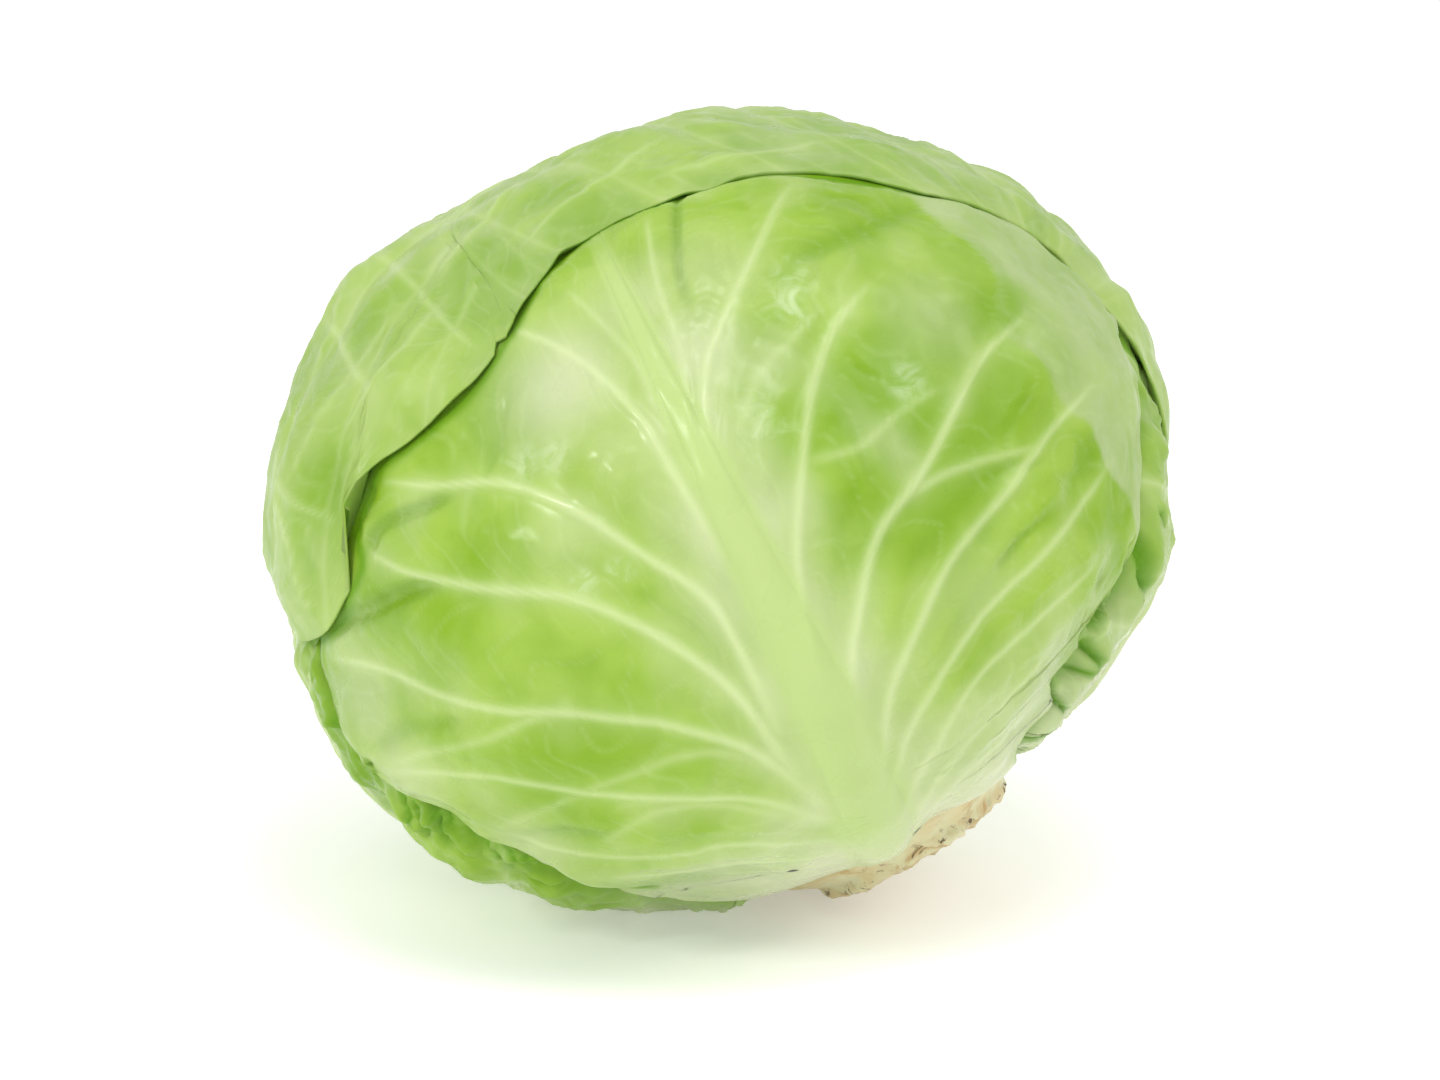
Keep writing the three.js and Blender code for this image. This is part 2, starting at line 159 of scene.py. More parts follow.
# ---- directions round the stem: turn 0 faces the front, and y grows from the stem towards the crown
FRONT_FROM_STEM = unit(FRONT_OUT - STEM_AXIS * (FRONT_OUT @ STEM_AXIS))
SIDE_FROM_STEM = np.cross(STEM_AXIS, FRONT_FROM_STEM)


class LeafFrame:
    """Degrees across (x) and along (y) the midrib of a leaf that is turned round the stem."""

    def __init__(self, turn):
        across, ahead = math.sin(math.radians(turn)), math.cos(math.radians(turn))
        self.out = FRONT_FROM_STEM * ahead + SIDE_FROM_STEM * across
        self.side = SIDE_FROM_STEM * ahead - FRONT_FROM_STEM * across

    def direction(self, x, y):
        x, y = np.radians(np.asarray(x, float)), np.radians(np.asarray(y, float))
        cos_x = np.cos(x)[..., None]
        middle = cos_x * (np.cos(y)[..., None] * STEM_AXIS + np.sin(y)[..., None] * self.out)
        return middle + np.sin(x)[..., None] * self.side

    def chart(self, d):
        x = np.degrees(np.arcsin(np.clip(d @ self.side, -1, 1)))
        y = np.degrees(np.arctan2(d @ self.out, d @ STEM_AXIS))
        return x, np.where(y < -75, y + 360, y)


def curve_through(points, steps, closed=False):
    """A smooth curve through the points, with knots spaced by the root of their distance."""
    p = np.asarray(points, float)
    first, last = (p[-1:], p[:2]) if closed else (2 * p[:1] - p[1:2], 2 * p[-1:] - p[-2:-1])
    p = np.concatenate([first, p, last])
    p0, p1, p2, p3 = p[:-3], p[1:-2], p[2:-1], p[3:]
    t01, t12, t23 = (np.sqrt(np.linalg.norm(b - a, axis=1, keepdims=True)) for a, b in
                     ((p0, p1), (p1, p2), (p2, p3)))
    m1 = (p1 - p0) / t01 - (p2 - p0) / (t01 + t12) + (p2 - p1) / t12
    m2 = (p2 - p1) / t12 - (p3 - p1) / (t12 + t23) + (p3 - p2) / t23
    m1, m2 = m1 * t12, m2 * t12
    u = np.linspace(0, 1, steps, endpoint=False)[None, :, None]
    a, b, c, d = p1[:, None], m1[:, None], p2[:, None], m2[:, None]
    curve = a + b * u + (3 * (c - a) - 2 * b - d) * u ** 2 + (2 * (a - c) + b + d) * u ** 3
    curve = curve.reshape(-1, 2)
    return curve if closed else np.concatenate([curve, p2[-1:]])


# ---- wrapper leaves, innermost first
# turn: degrees round the stem from the front. rib: height and width in mm of the midrib at its foot.
# wave and puff: heights in mm of the waves along the margin and of the swelling between side veins.
# sway: x of the midrib at its foot and at its tip, and how far its last stretch hooks to the side.
# margin: (x, y) in degrees, x across the midrib and y along it, round the leaf from its left foot.
# veins: (y on the left, heading on the left, y on the right, heading on the right) in degrees, foot to tip.
# wax and shade: how much bloom the leaf has, and how much painted shade deepens its green beside the front
# leaf.
FRONT = 3
MARCH_STEP_DEG = 1.5
LONGEST_VEIN_DEG = 170
VEIN_BEND = 9.0
STEM_ARC_BEND = 18.0
STEM_ARC_HEADING = 110.0
HALVINGS = 12
STEM_ARC_RIGHT = [(-16, 12), (-10, 16.4)]
STEM_ARC_LEFT = [(0, 19.2), (10, 16.4), (16, 12)]
COMMON_VEINS = [
    (19, 150, 19, 150), (31, 112, 30, 112), (43, 86, 41, 88), (56, 70, 54, 72),
    (72, 58, 69, 60), (90, 48, 87, 50), (110, 38, 106, 40), (127, 28, 125, 30),
]


class Leaf:
    """A wrapper leaf: its measures, outline and side veins, in its own degrees."""

    def __init__(self, name, turn, rib, wave, puff, sway, margin, veins, pucker=1.0, wax=0.3, shade=0.5):
        self.name, self.wave, self.puff, self.sway = name, wave, puff, sway
        self.rib_height, self.rib_width = rib
        self.pucker, self.wax, self.shade = pucker, wax, shade
        self.frame = LeafFrame(turn)
        self.veins = np.array(veins, float)
        self.last = len(veins) - 1
        self.outline = curve_through([*STEM_ARC_LEFT, *margin, *STEM_ARC_RIGHT], 4, closed=True)
        self.edge = self.frame.direction(self.outline[:, 0], self.outline[:, 1])

    def share_along(self, y):
        return (y - LEAF_FOOT_DEG) / (self.veins[-1, 0] - LEAF_FOOT_DEG)

    def midrib_x(self, y):
        foot, tip, hook = self.sway
        share = self.share_along(y)
        return mix(foot, tip, share) + hook * smooth((share - 0.82) / 0.18)

    def rib_half_width(self, y):
        width = self.rib_width * mix(1, 0.16, smooth(self.share_along(y) * 1.05))
        return np.degrees(0.5 * width / MEAN_RADIUS)

    def rib_profile(self, y):
        share = self.share_along(y)
        rise = mix(0.45, 1, smooth(share / 0.16)) * mix(1, 0.2, smooth(share * 1.05))
        return self.rib_height * rise * self.rib_shown(y)

    def rib_shown(self, y):
        return 1 - smooth((self.share_along(y) - 0.76) / 0.16)

    def inside(self, x, y):
        """Whether points lie within the outline, from how often a ray leaves it."""
        ax, ay = self.outline[:, 0], self.outline[:, 1]
        bx, by = np.roll(ax, -1), np.roll(ay, -1)
        x, y = np.asarray(x)[..., None], np.asarray(y)[..., None]
        crosses = (ay > y) != (by > y)
        hit = crosses & (x < ax + (bx - ax) * (y - ay) / np.where(by == ay, 1e-9, by - ay))
        return hit.sum(-1) % 2 == 1

    def margin_distance(self, d):
        """Distance in mm from directions to the leaf's margin, negative within the leaf."""
        flat = d.reshape(-1, 3)
        span = np.roll(self.edge, -1, 0) - self.edge
        nearest = np.full(len(flat), np.inf)
        for a, s in zip(self.edge, span):
            offset = flat - a
            k = np.clip(offset @ s / (s @ s), 0, 1)
            nearest = np.minimum(nearest, np.linalg.norm(offset - k[:, None] * s, axis=1))
        sign = np.where(self.inside(*self.frame.chart(flat)), -1, 1)
        return (nearest * MEAN_RADIUS * sign).reshape(d.shape[:-1])

    def vein_at(self, place, left):
        """Where a vein leaves the rib, its heading far from it and its heading there, all in degrees."""
        index = np.clip(np.floor(place).astype(int), 0, self.last - 1)
        k = np.clip(place - index, 0, 1)
        column = 0 if left else 2
        y = mix(self.veins[index, column], self.veins[index + 1, column], k)
        heading = mix(self.veins[index, column + 1], self.veins[index + 1, column + 1], k)
        return y, heading, np.minimum(heading, mix(28, 90, smooth((heading - 40) / 70)))

    def marched(self, places, left):
        """Steps along side veins from the rib until all have left the leaf, and the first one outside."""
        foot, heading, start = self.vein_at(places, left)
        hand = 1 if left else -1
        x = self.midrib_x(foot) + hand * self.rib_half_width(foot)
        y = foot.copy()
        bend = np.where(heading > STEM_ARC_HEADING, STEM_ARC_BEND, VEIN_BEND)
        path = [np.stack([x, y], -1)]
        live = np.ones(len(places), bool)
        leaving = np.zeros(len(places), int)
        for step in range(int(LONGEST_VEIN_DEG / MARCH_STEP_DEG)):
            u = (step + 0.5) * MARCH_STEP_DEG
            now = np.radians(start + (heading - start) * (1 - np.exp(-u / bend)))
            x = x + hand * MARCH_STEP_DEG * np.sin(now)
            y = y + MARCH_STEP_DEG * np.cos(now)
            path.append(np.stack([x, y], -1))
            out = live & ~self.inside(x, y)
            leaving[out] = step + 1
            live &= ~out
            if not live.any():
                break
        return np.array(path), leaving

    def traced_veins(self, places, left, shares):
        """Points on side veins at shares of their way to the margin, and the lengths of the veins in mm."""
        path, leaving = self.marched(places, left)
        rows = np.arange(len(places))
        before, after = path[leaving - 1, rows], path[leaving, rows]
        low, high = np.zeros(len(rows)), np.ones(len(rows))
        for _ in range(HALVINGS):
            middle = (low + high) / 2
            point = mix(before, after, middle[:, None])
            inside = self.inside(point[:, 0], point[:, 1])
            low, high = np.where(inside, middle, low), np.where(inside, high, middle)
        path[leaving, rows] = mix(before, after, low[:, None])
        points = np.empty((*shares.shape, 2))
        lengths = np.empty(len(places))
        for row in rows:
            line = path[:leaving[row] + 1, row]
            d = self.frame.direction(line[:, 0], line[:, 1])
            run = np.concatenate([[0], np.cumsum(np.linalg.norm(np.diff(d, axis=0), axis=1))])
            lengths[row] = run[-1] * MEAN_RADIUS
            wanted = shares[row] * run[-1]
            points[row] = np.stack([np.interp(wanted, run, column) for column in line.T], -1)
        return points, lengths


LEAVES = [
    Leaf("leaf_rear", turn=172, rib=(3.6, 12), wave=1.5, puff=1.2, sway=(0, 3, 0),
         margin=[(19, 22), (36, 34), (52, 54), (61, 80), (60, 108), (46, 130), (22, 142), (0, 145),
                 (-22, 142), (-46, 130), (-60, 108), (-61, 80), (-52, 54), (-36, 34), (-19, 22)],
         veins=[*COMMON_VEINS, (143, 70, 143, 70)]),
    Leaf("leaf_right", turn=-85, rib=(3.6, 12), wave=1.4, puff=1.5, sway=(0, -4, 0), wax=0.2, shade=0.35,
         margin=[(20, 20), (40, 20), (54, 36), (64, 60), (64, 90), (56, 116), (36, 134), (0, 142),
                 (-30, 136), (-52, 118), (-60, 92), (-58, 62), (-46, 40), (-32, 28), (-20, 20)],
         veins=[*COMMON_VEINS, (140, 70, 140, 70)]),
    Leaf("leaf_left", turn=88, rib=(3.2, 12), wave=0.8, puff=1.4, sway=(0, 3, 0), wax=0.05, shade=0.9,
         margin=[(20, 20), (36, 30), (52, 52), (60, 80), (58, 110), (44, 134), (20, 146), (0, 148),
                 (-28, 145), (-50, 130), (-62, 104), (-64, 74), (-58, 42), (-46, 18), (-30, 10)],
         veins=[*COMMON_VEINS, (146, 70, 146, 70)]),
    Leaf("leaf_front", turn=0, rib=(3.4, 13), wave=1.0, puff=1.2, sway=(5, -6, 0), pucker=0.6, wax=0.04,
         margin=[(20, 21), (28, 25), (35, 31), (39, 37), (41, 42), (43, 47), (44, 52), (45, 57), (48, 62),
                 (51, 65), (53, 70), (57, 75), (60, 78), (62, 82), (66, 86), (68, 92), (68, 101),
                 (65, 110), (61, 120), (55, 128), (42, 141), (20, 151), (0, 154), (-20, 154), (-42, 148),
                 (-60, 134), (-70, 112), (-72, 88), (-67, 67), (-57, 55), (-50, 51), (-45, 48),
                 (-41, 41), (-37, 47), (-32, 47), (-31, 41), (-26, 45), (-25, 37), (-20, 37), (-17, 24)],
         veins=[(19, 150, 19, 150), (29, 122, 30, 124), (38, 112, 41, 113), (46, 103, 51, 101),
                (51, 76, 56, 90), (55, 64, 60, 80), (59.5, 51, 66, 77), (68, 41, 72, 64),
                (86, 40, 83, 48), (98, 24, 100, 44), (112, 18, 107, 18), (131, 20, 130, 20),
                (152, 70, 152, 70)]),
    Leaf("leaf_top", turn=-150, rib=(3.6, 14), wave=0.8, puff=0.9, sway=(0, -4, 15), pucker=0.8, wax=0.4,
         margin=[(19, 22), (40, 34), (58, 46), (72, 60), (77, 95), (76, 130), (73, 160), (66, 185),
                 (57, 192), (46, 201), (36, 208), (26, 214), (18, 221), (13, 229), (4, 237), (-4, 239),
                 (-9, 239), (-12, 240), (-15, 243), (-17, 246), (-17, 249), (-22, 252), (-30, 254),
                 (-48, 246), (-62, 224), (-69, 190), (-69, 150), (-63, 108), (-48, 68), (-32, 40),
                 (-19, 22)],
         veins=[(19, 150, 19, 150), (31, 116, 32, 116), (43, 96, 45, 98), (57, 84, 59, 86),
                (72, 76, 74, 78), (88, 70, 90, 72), (105, 66, 107, 68), (122, 62, 125, 64),
                (140, 58, 143, 60), (158, 54, 161, 56), (176, 50, 179, 52), (193, 45, 195, 46),
                (207, 38, 208, 33), (219, 30, 219, 22), (230.5, 70, 230.5, 12)]),
]


# ---- the stack of layers over the inner head
STACK_STEP = 4
FAR = 60.0
FLOOR_SLOPE = 0.2


def stack_fields(level, d):
    """The surface before relief, how many leaves lie over it, and ways in mm: to the nearest of their
    margins, to the front leaf's margin, and in from the leaf's own."""
    distances = [leaf.margin_distance(d) for leaf in LEAVES]
    cover = [smooth(1 - (s - OVERLAP_REACH) / OVERLAP_SLOPE) for s in distances]
    wide = [smooth(0.5 - (s - BLEND_REACH) / (2 * BLEND_WIDTH)) for s in distances]
    surface = head_radius(d) + LAYER * (sum(cover[:level + 1]) - sum(wide))
    above = sum(cover[level + 1:]) + np.zeros(d.shape[:-1])
    far = np.full(d.shape[:-1], FAR)
    over = np.minimum.reduce(distances[level + 1:] + [far])
    front = distances[FRONT] if level < FRONT else far
    return surface, above, over, front, -distances[level]


def over_floor(reach, d, above):
    """The reach, cut where it would pass the floor or the leaves that lie between it and the floor."""
    down = -d[..., 2]
    limit = (HEAD_CENTRE[2] - LAYER * above) / np.maximum(down, FLOOR_SLOPE)
    return np.where(down > FLOOR_SLOPE, np.minimum(reach, limit), reach)


def cubic_weights(fine, step):
    """A matrix that carries every step-th sample to all of them by a smooth curve."""
    coarse = (fine - 1) // step + 1
    at = np.arange(fine) / step
    index = np.minimum(at.astype(int), coarse - 2)
    k = at - index
    weights = np.zeros((fine, coarse))
    cubic = [
        -0.5 * k + k ** 2 - 0.5 * k ** 3, 1 - 2.5 * k ** 2 + 1.5 * k ** 3,
        0.5 * k + 2 * k ** 2 - 1.5 * k ** 3, -0.5 * k ** 2 + 0.5 * k ** 3,
    ]
    for offset, weight in zip((-1, 0, 1, 2), cubic):
        np.add.at(weights, (np.arange(fine), np.clip(index + offset, 0, coarse - 1)), weight)
    return weights


def spread_fields(level, d):
    """The same fields, worked out for few of the grid's points and carried to the rest."""
    rows, columns = (cubic_weights(count, STACK_STEP) for count in d.shape[:2])
    coarse = stack_fields(level, d[::STACK_STEP, ::STACK_STEP])
    return [rows @ field @ columns.T for field in coarse]


# ---- the grid of one leaf: rows lie along side veins, columns run from the right margin to the left
MARGIN_NICK = 0.012
NICK_LENGTH = 2.3
CLOSE_GAUGE = 2
OPEN_GAUGE = 6


class LeafGrid:
    """Points of a leaf with their place along the midrib, counted in veins, and their run along a vein."""

    def __init__(self, leaf, rows_per_vein, side_columns, rib_columns, seed):
        places = np.linspace(0, leaf.last, leaf.last * rows_per_vein + 1)
        t = np.linspace(0, 1, side_columns + 1)
        rib_share = np.linspace(-1, 1, rib_columns + 2)[1:-1]
        nicks = Ripple(NICK_LENGTH, seed=seed)
        halves = []
        for hand in (-1, 1):
            wander = nicks(np.stack([places * 1.7, np.full(len(places), 9.0 * hand), places * 0], -1))
            pull = MARGIN_NICK * np.clip(wander, 0, 2) * smooth((leaf.last - places) / 0.6)
            shares = t * (1 - pull[:, None] * smooth((t - 0.8) / 0.2))
            halves.append(leaf.traced_veins(places, hand > 0, shares))
        (right, right_length), (left, left_length) = halves
        right_y = leaf.vein_at(places, False)[0][:, None]
        left_y = leaf.vein_at(places, True)[0][:, None]
        rib_y = mix(right_y, left_y, (rib_share + 1) / 2)
        rib_x = leaf.midrib_x(rib_y) + rib_share * leaf.rib_half_width(rib_y)
        chart = np.concatenate([right[:, ::-1], np.stack([rib_x, rib_y], -1), left], axis=1)
        self.leaf = leaf
        self.x, self.y = chart[..., 0], chart[..., 1]
        self.place = places[:, None] + np.zeros_like(self.x)
        self.t = np.concatenate([t[::-1], 0 * rib_share, t]) + np.zeros_like(self.x)
        self.rib_share = np.concatenate([0 * t - 1, rib_share, 0 * t + 1])
        self.side = np.trunc(self.rib_share)
        lengths = right_length[:, None], left_length[:, None]
        self.length = np.select([self.side < 0, self.side > 0], lengths, 1)
        self.run = self.t * self.length
        self.d = leaf.frame.direction(self.x, self.y)
        self.base = self.d * MEAN_RADIUS
        across = np.gradient(self.base, places, axis=0)
        along = np.gradient(self.base, axis=1)
        along /= np.maximum(np.linalg.norm(along, axis=-1, keepdims=True), 1e-9)
        across = across - (across * along).sum(-1, keepdims=True) * along
        self.gauge = np.linalg.norm(across, axis=-1)
        self.spread_out = smooth((self.gauge - CLOSE_GAUGE) / (OPEN_GAUGE - CLOSE_GAUGE))
        self.rib_way = np.abs(self.x - leaf.midrib_x(self.y)) * math.radians(1) * MEAN_RADIUS
        self.from_stem = angle_from(self.d, STEM_AXIS)


# ---- lines drawn on a leaf: veins, folds and slits through points in its own degrees
class Line:
    """A curve on a leaf, which measures how far points are from it and how far along it they lie."""

    def __init__(self, frame, points):
        curve = curve_through(points, 5)
        self.path = frame.direction(curve[:, 0], curve[:, 1]) * MEAN_RADIUS
        self.length = np.linalg.norm(np.diff(self.path, axis=0), axis=1).sum()

    def measure(self, base, reach):
        """Distance to the line in mm and share of its length, for points within a reach of it."""
        flat = base.reshape(-1, 3)
        low, high = self.path.min(0) - reach, self.path.max(0) + reach
        near = np.flatnonzero(np.all((flat > low) & (flat < high), axis=1))
        points = flat[near]
        nearest, share = np.full(len(near), 1e3), np.zeros(len(near))
        run = 0.0
        for a, b in zip(self.path, self.path[1:]):
            span = b - a
            size = np.linalg.norm(span)
            k = np.clip((points - a) @ span / size ** 2, 0, 1)
            way = np.linalg.norm(points - a - k[:, None] * span, axis=1)
            share = np.where(way < nearest, (run + k * size) / self.length, share)
            nearest = np.minimum(way, nearest)
            run += size
        all_ways, all_shares = np.full(len(flat), 1e3), np.zeros(len(flat))
        all_ways[near], all_shares[near] = nearest, share
        return all_ways.reshape(base.shape[:-1]), all_shares.reshape(base.shape[:-1])


# Drawn veins: strength, then points from the midrib outwards.
FRONT_VEINS = [
    (0.9, [(2, 90), (2, 100), (2, 107), (3, 113), (6, 122), (11, 131)]),
    (0.5, [(0, 106), (-1, 113), (0, 121), (2, 130)]),
    (1.0, [(7, 68), (6, 79), (6, 86), (10, 95), (14, 103), (20, 111), (29, 118), (36, 126)]),
    (1.0, [(8, 62), (9, 75), (13, 85), (19, 94), (28, 101), (38, 111), (43, 120)]),
    (0.9, [(7, 57), (11, 68), (17, 75), (26, 81), (36, 87), (46, 97), (61, 113)]),
    (0.5, [(26, 81), (31, 83), (39, 83), (48, 84), (56, 84)]),
    (0.8, [(8, 54), (13, 61), (21, 65), (32, 70), (43, 77), (58, 83)]),
    (0.45, [(10, 65), (15, 70), (22, 71), (31, 70), (39, 68), (47, 66)]),
    (0.7, [(9, 48), (18, 54), (28, 55), (38, 58), (46, 65)]),
    (0.45, [(11, 57), (17, 62), (24, 64), (30, 62), (35, 59)]),
    (0.6, [(10, 42), (19, 47), (29, 47), (37, 51)]),
    (0.5, [(11, 36), (17, 39), (25, 42)]),
    (0.8, [(-2, 96), (-4, 103), (-7, 109), (-12, 114), (-21, 122), (-32, 134)]),
    (0.6, [(-1, 98), (-3, 106), (-6, 113), (-8, 123), (-12, 136)]),
    (0.9, [(0, 72), (-5, 85), (-12, 95), (-17, 101), (-24, 107), (-32, 111)]),
    (0.45, [(-11, 94), (-18, 92), (-25, 93), (-32, 93)]),
    (0.35, [(-7, 101), (-13, 106), (-19, 108), (-24, 110)]),
    (1.0, [(0, 60), (-3, 69), (-8, 76), (-14, 82), (-23, 85), (-31, 89), (-38, 93), (-49, 96)]),
    (0.6, [(-20, 84), (-26, 83), (-32, 81), (-38, 78)]),
    (0.9, [(0, 54), (-5, 63), (-11, 69), (-20, 74), (-31, 76), (-42, 78), (-53, 78)]),
    (0.8, [(0, 50), (-5, 57), (-13, 63), (-22, 66), (-30, 66), (-38, 66), (-48, 65)]),
    (0.7, [(-1, 46), (-7, 53), (-15, 58), (-25, 59), (-38, 57)]),
    (0.6, [(-2, 42), (-8, 49), (-17, 51), (-28, 52)]),
    (0.5, [(-3, 38), (-8, 44), (-16, 44), (-25, 43)]),
]
TOP_VEINS = [
    (0.5, [(-15, 197), (-5, 211), (0, 219), (5, 227), (8, 231)]),
    (0.6, [(-22, 206), (-15, 218), (-12, 224), (-6, 232)]),
    (0.35, [(-4, 216), (-8, 220), (-12, 223), (-16, 226), (-20, 230), (-26, 234)]),
    (0.4, [(2, 219), (-2, 226), (-6, 228), (-11, 231), (-16, 233)]),
    (0.4, [(-18, 203), (-20, 209), (-22, 213), (-24, 218), (-27, 224)]),
    (0.4, [(9, 197), (6, 205), (3, 210), (0, 214)]),
    (0.5, [(-29, 229), (-26, 234), (-23, 238), (-18, 243)]),
    (0.5, [(-29, 232), (-28, 240), (-29, 246), (-29, 251)]),
    (0.4, [(30, 192), (24, 203), (19, 208), (13, 215)]),
    (0.4, [(50, 176), (46, 188), (39, 197), (31, 203)]),
]
# Folds pressed in: depth in mm, half-width in mm, points.
FRONT_FOLDS = [
    (2.2, 1.7, [(56, 116), (52, 114), (47, 111), (39, 108), (32, 104)]),
    (1.5, 1.3, [(42, 119), (38, 119), (33, 117), (26, 114)]),
    (1.6, 2.6, [(37, 127), (42, 125), (44, 122)]),
    (0.9, 2.2, [(57, 88), (49, 89), (41, 87), (33, 84)]),
    (1.3, 1.1, [(-19, 143), (-15, 133), (-11, 123), (-9, 115)]),
    (0.5, 1.0, [(22, 113), (18, 118), (14, 123)]),
    (0.9, 1.4, [(-24, 69), (-30, 70), (-37, 69)]),
    (0.7, 1.6, [(-27, 80), (-34, 78), (-39, 74)]),
    (0.6, 2.4, [(-22, 117), (-35, 120), (-49, 124)]),
    (0.7, 1.6, [(-37, 54), (-37, 51)]),
    (0.8, 2.0, [(46, 62), (38, 63), (30, 60)]),
]
TOP_FOLDS = [
    (0.7, 4.5, [(-17, 233), (-21, 238)]),
    (0.6, 3.5, [(-24, 243), (-26, 247)]),
    (0.5, 4.0, [(-25, 223), (-27, 229)]),
    (0.5, 4.0, [(58, 178), (48, 184)]),
    (0.5, 5.0, [(20, 200), (12, 208)]),
]
VEIN_HEIGHT = 1.0
VEIN_REACH = 16
LINE_WIDTH = 0.75
HALO_WIDTH = (5.5, 2.4)
PUFF_REACH = 11.0


def drawn_veins(grid, veins):
    """Height, crisp line, soft halo and the swelling between veins, from veins drawn by their points."""
    height, line, halo = np.zeros((3, *grid.t.shape))
    nearest = np.full_like(grid.t, PUFF_REACH)
    for strength, points in veins:
        way, share = Line(grid.leaf.frame, points).measure(grid.base, VEIN_REACH)
        taper = mix(1, 0.55, share) * (1 - smooth((share - 0.86) / 0.14))
        start = smooth(share / 0.18)
        width = LINE_WIDTH * mix(1.5, 0.8, share) * mix(0.8, 1, strength)
        spread = mix(*HALO_WIDTH, smooth(share * 1.4))
        rise = strength * taper * mix(0.3, 1, start)
        section = 0.45 * ridge(way, width) + 0.55 * ridge(way, 2.4 * width)
        height = np.maximum(height, VEIN_HEIGHT * rise * section)
        line = np.maximum(line, strength * mix(0.35, 1, start) * taper ** 0.5 * ridge(way, width))
        halo = np.maximum(halo, strength * taper ** 0.5 * ridge(way, spread))
        weaker = PUFF_REACH * (1 - strength) * 0.6
        nearest = np.minimum(nearest, way + weaker + 6 * smooth((share - 0.8) / 0.2))
    return height, line, halo, smooth(nearest / PUFF_REACH)


def drawn_folds(leaf, base, folds):
    """Depth in mm of the folds at each point."""
    total = np.zeros(base.shape[:-1])
    for depth, width, points in folds:
        way, share = Line(leaf.frame, points).measure(base, 3 * width + 3)
        ends = smooth(share / 0.2 + 0.4) * smooth((1 - share) / 0.35 + 0.1)
        total = np.maximum(total, depth * ends * ridge(way, width))
    return total


# Forks of side veins: shares of the way to the margin where they leave, and how far they spread.
FIRST_FORK = (0.3, 0.5)
SECOND_FORK = (0.55, 0.75)
FORK_SPREAD = 0.36
FORK_BEND = 1.8
WHOLE_WAY = 1.0001
VEIN_WIDTH = 1.0


def branches(leaf, seed):
    """Side veins and their forks: (place at the rib, share where it leaves, spread in places, strength)."""
    r = np.random.default_rng(seed)
    made = []
    for vein in range(1, leaf.last):
        made.append((vein, 0.0, 0.0, 1.0))
        first = r.uniform(*FIRST_FORK)
        turn = 1 if r.random() < 0.5 else -1
        made.append((vein, first, turn * FORK_SPREAD * r.uniform(0.8, 1.15), 0.7))
        made.append((vein, r.uniform(*SECOND_FORK), -turn * FORK_SPREAD * r.uniform(0.5, 0.9), 0.5))
    return made


def grown_veins(grid, seed):
    """Height, crisp line, soft halo and the swelling between the side veins that follow the leaf's rows."""
    leaf = grid.leaf
    height, line, halo = np.zeros((3, *grid.t.shape))
    rows_per_vein = (len(grid.place) - 1) // leaf.last
    for hand in (-1, 1):
        columns = np.flatnonzero(grid.side == hand)
        for vein, leave, spread, strength in branches(leaf, seed + hand):
            thickness = mix(0.7, 1, strength)
            low = max(0, (vein - 1) * rows_per_vein)
            high = min(len(grid.place), (vein + 1) * rows_per_vein + 1)
            block = np.ix_(np.arange(low, high), columns)
            t, gauge, length = grid.t[block], grid.gauge[block], grid.length[block]
            run = np.clip((t - leave) / (WHOLE_WAY - leave), 0, 1)
            centre = vein + spread * (1 - (1 - run) ** FORK_BEND)
            slope = spread * FORK_BEND * (1 - run) ** (FORK_BEND - 1) / (WHOLE_WAY - leave)
            slant = np.sqrt(1 + (slope * gauge / np.maximum(length, 1)) ** 2)
            way = np.abs(grid.place[block] - centre) * gauge / slant
            strength = strength * grid.spread_out[block]
            width = np.minimum(mix(VEIN_WIDTH, 0.5, t), 0.22 * gauge + 0.25) * thickness
            joined = np.where(leave > 0, smooth(run / 0.12), 1)
            rise = strength * mix(0.75, 1, smooth(t / 0.12)) * (1 - 0.72 * smooth(t * 1.02)) * joined
            height[block] = np.maximum(height[block], VEIN_HEIGHT * rise * ridge(way, 1.5 * width))
            shown = strength * joined * (1 - 0.35 * t)
            line[block] = np.maximum(line[block], shown * ridge(way, width))
            halo[block] = np.maximum(halo[block], shown * ridge(way, 2.6 * width + 0.5))
    dome = (4 * (grid.place % 1) * (1 - grid.place % 1)) ** 0.8
    return height, line, halo, mix(0.6, dome, grid.spread_out)


NET_SPACING = 8.5
NET_WIDTH = 0.5


def net_relief(grid, wander, rooted):
    """Fine cross veins that run out from each side vein and meet halfway, and the cells between them."""
    middle = np.abs(grid.place % 1 - 0.5)
    phase = (grid.run + middle * grid.gauge * 0.75) / NET_SPACING + 0.55 * wander
    off = phase - np.round(phase)
    shown = rooted * smooth((0.5 - middle) * 8)
    line = ridge(np.abs(off) * NET_SPACING, NET_WIDTH) * shown
    cell = (np.cos(np.pi * np.clip(2 * off, -1, 1)) * 0.5 + 0.5)
    return line, (1 - cell) * smooth((0.5 - middle) * 3) * shown


# ---- crumpling beyond the front leaf's margin, and the painted shade in its cleft, shared by all the layers that lie under that leaf
CRUSH_REACH = 24.0
CRUSH_DEPTH = 1.1
PLEAT_DEPTH = 0.6
CREVICE_REACH = 12
CREVICE_DEPTH = 0.5
CLEFT_DEPTH = 2.4
CLEFT_WIDTH = 1.1
CLEFT_WAY = 1.2
SWELL = 1.1
SWELL_WAY = 8
SWELL_WIDTH = 6
SIDE_TURN_DEG = 10
SLIT_SHADE_WIDTH = 1.4


def cleft_pattern(base):
    """Where the front leaf's margin stands off and the layers under it fall back, from 0 to 1."""
    return 0.2 + 0.4 * smooth(0.5 + 0.9 * Ripple(21, seed=34)(base))


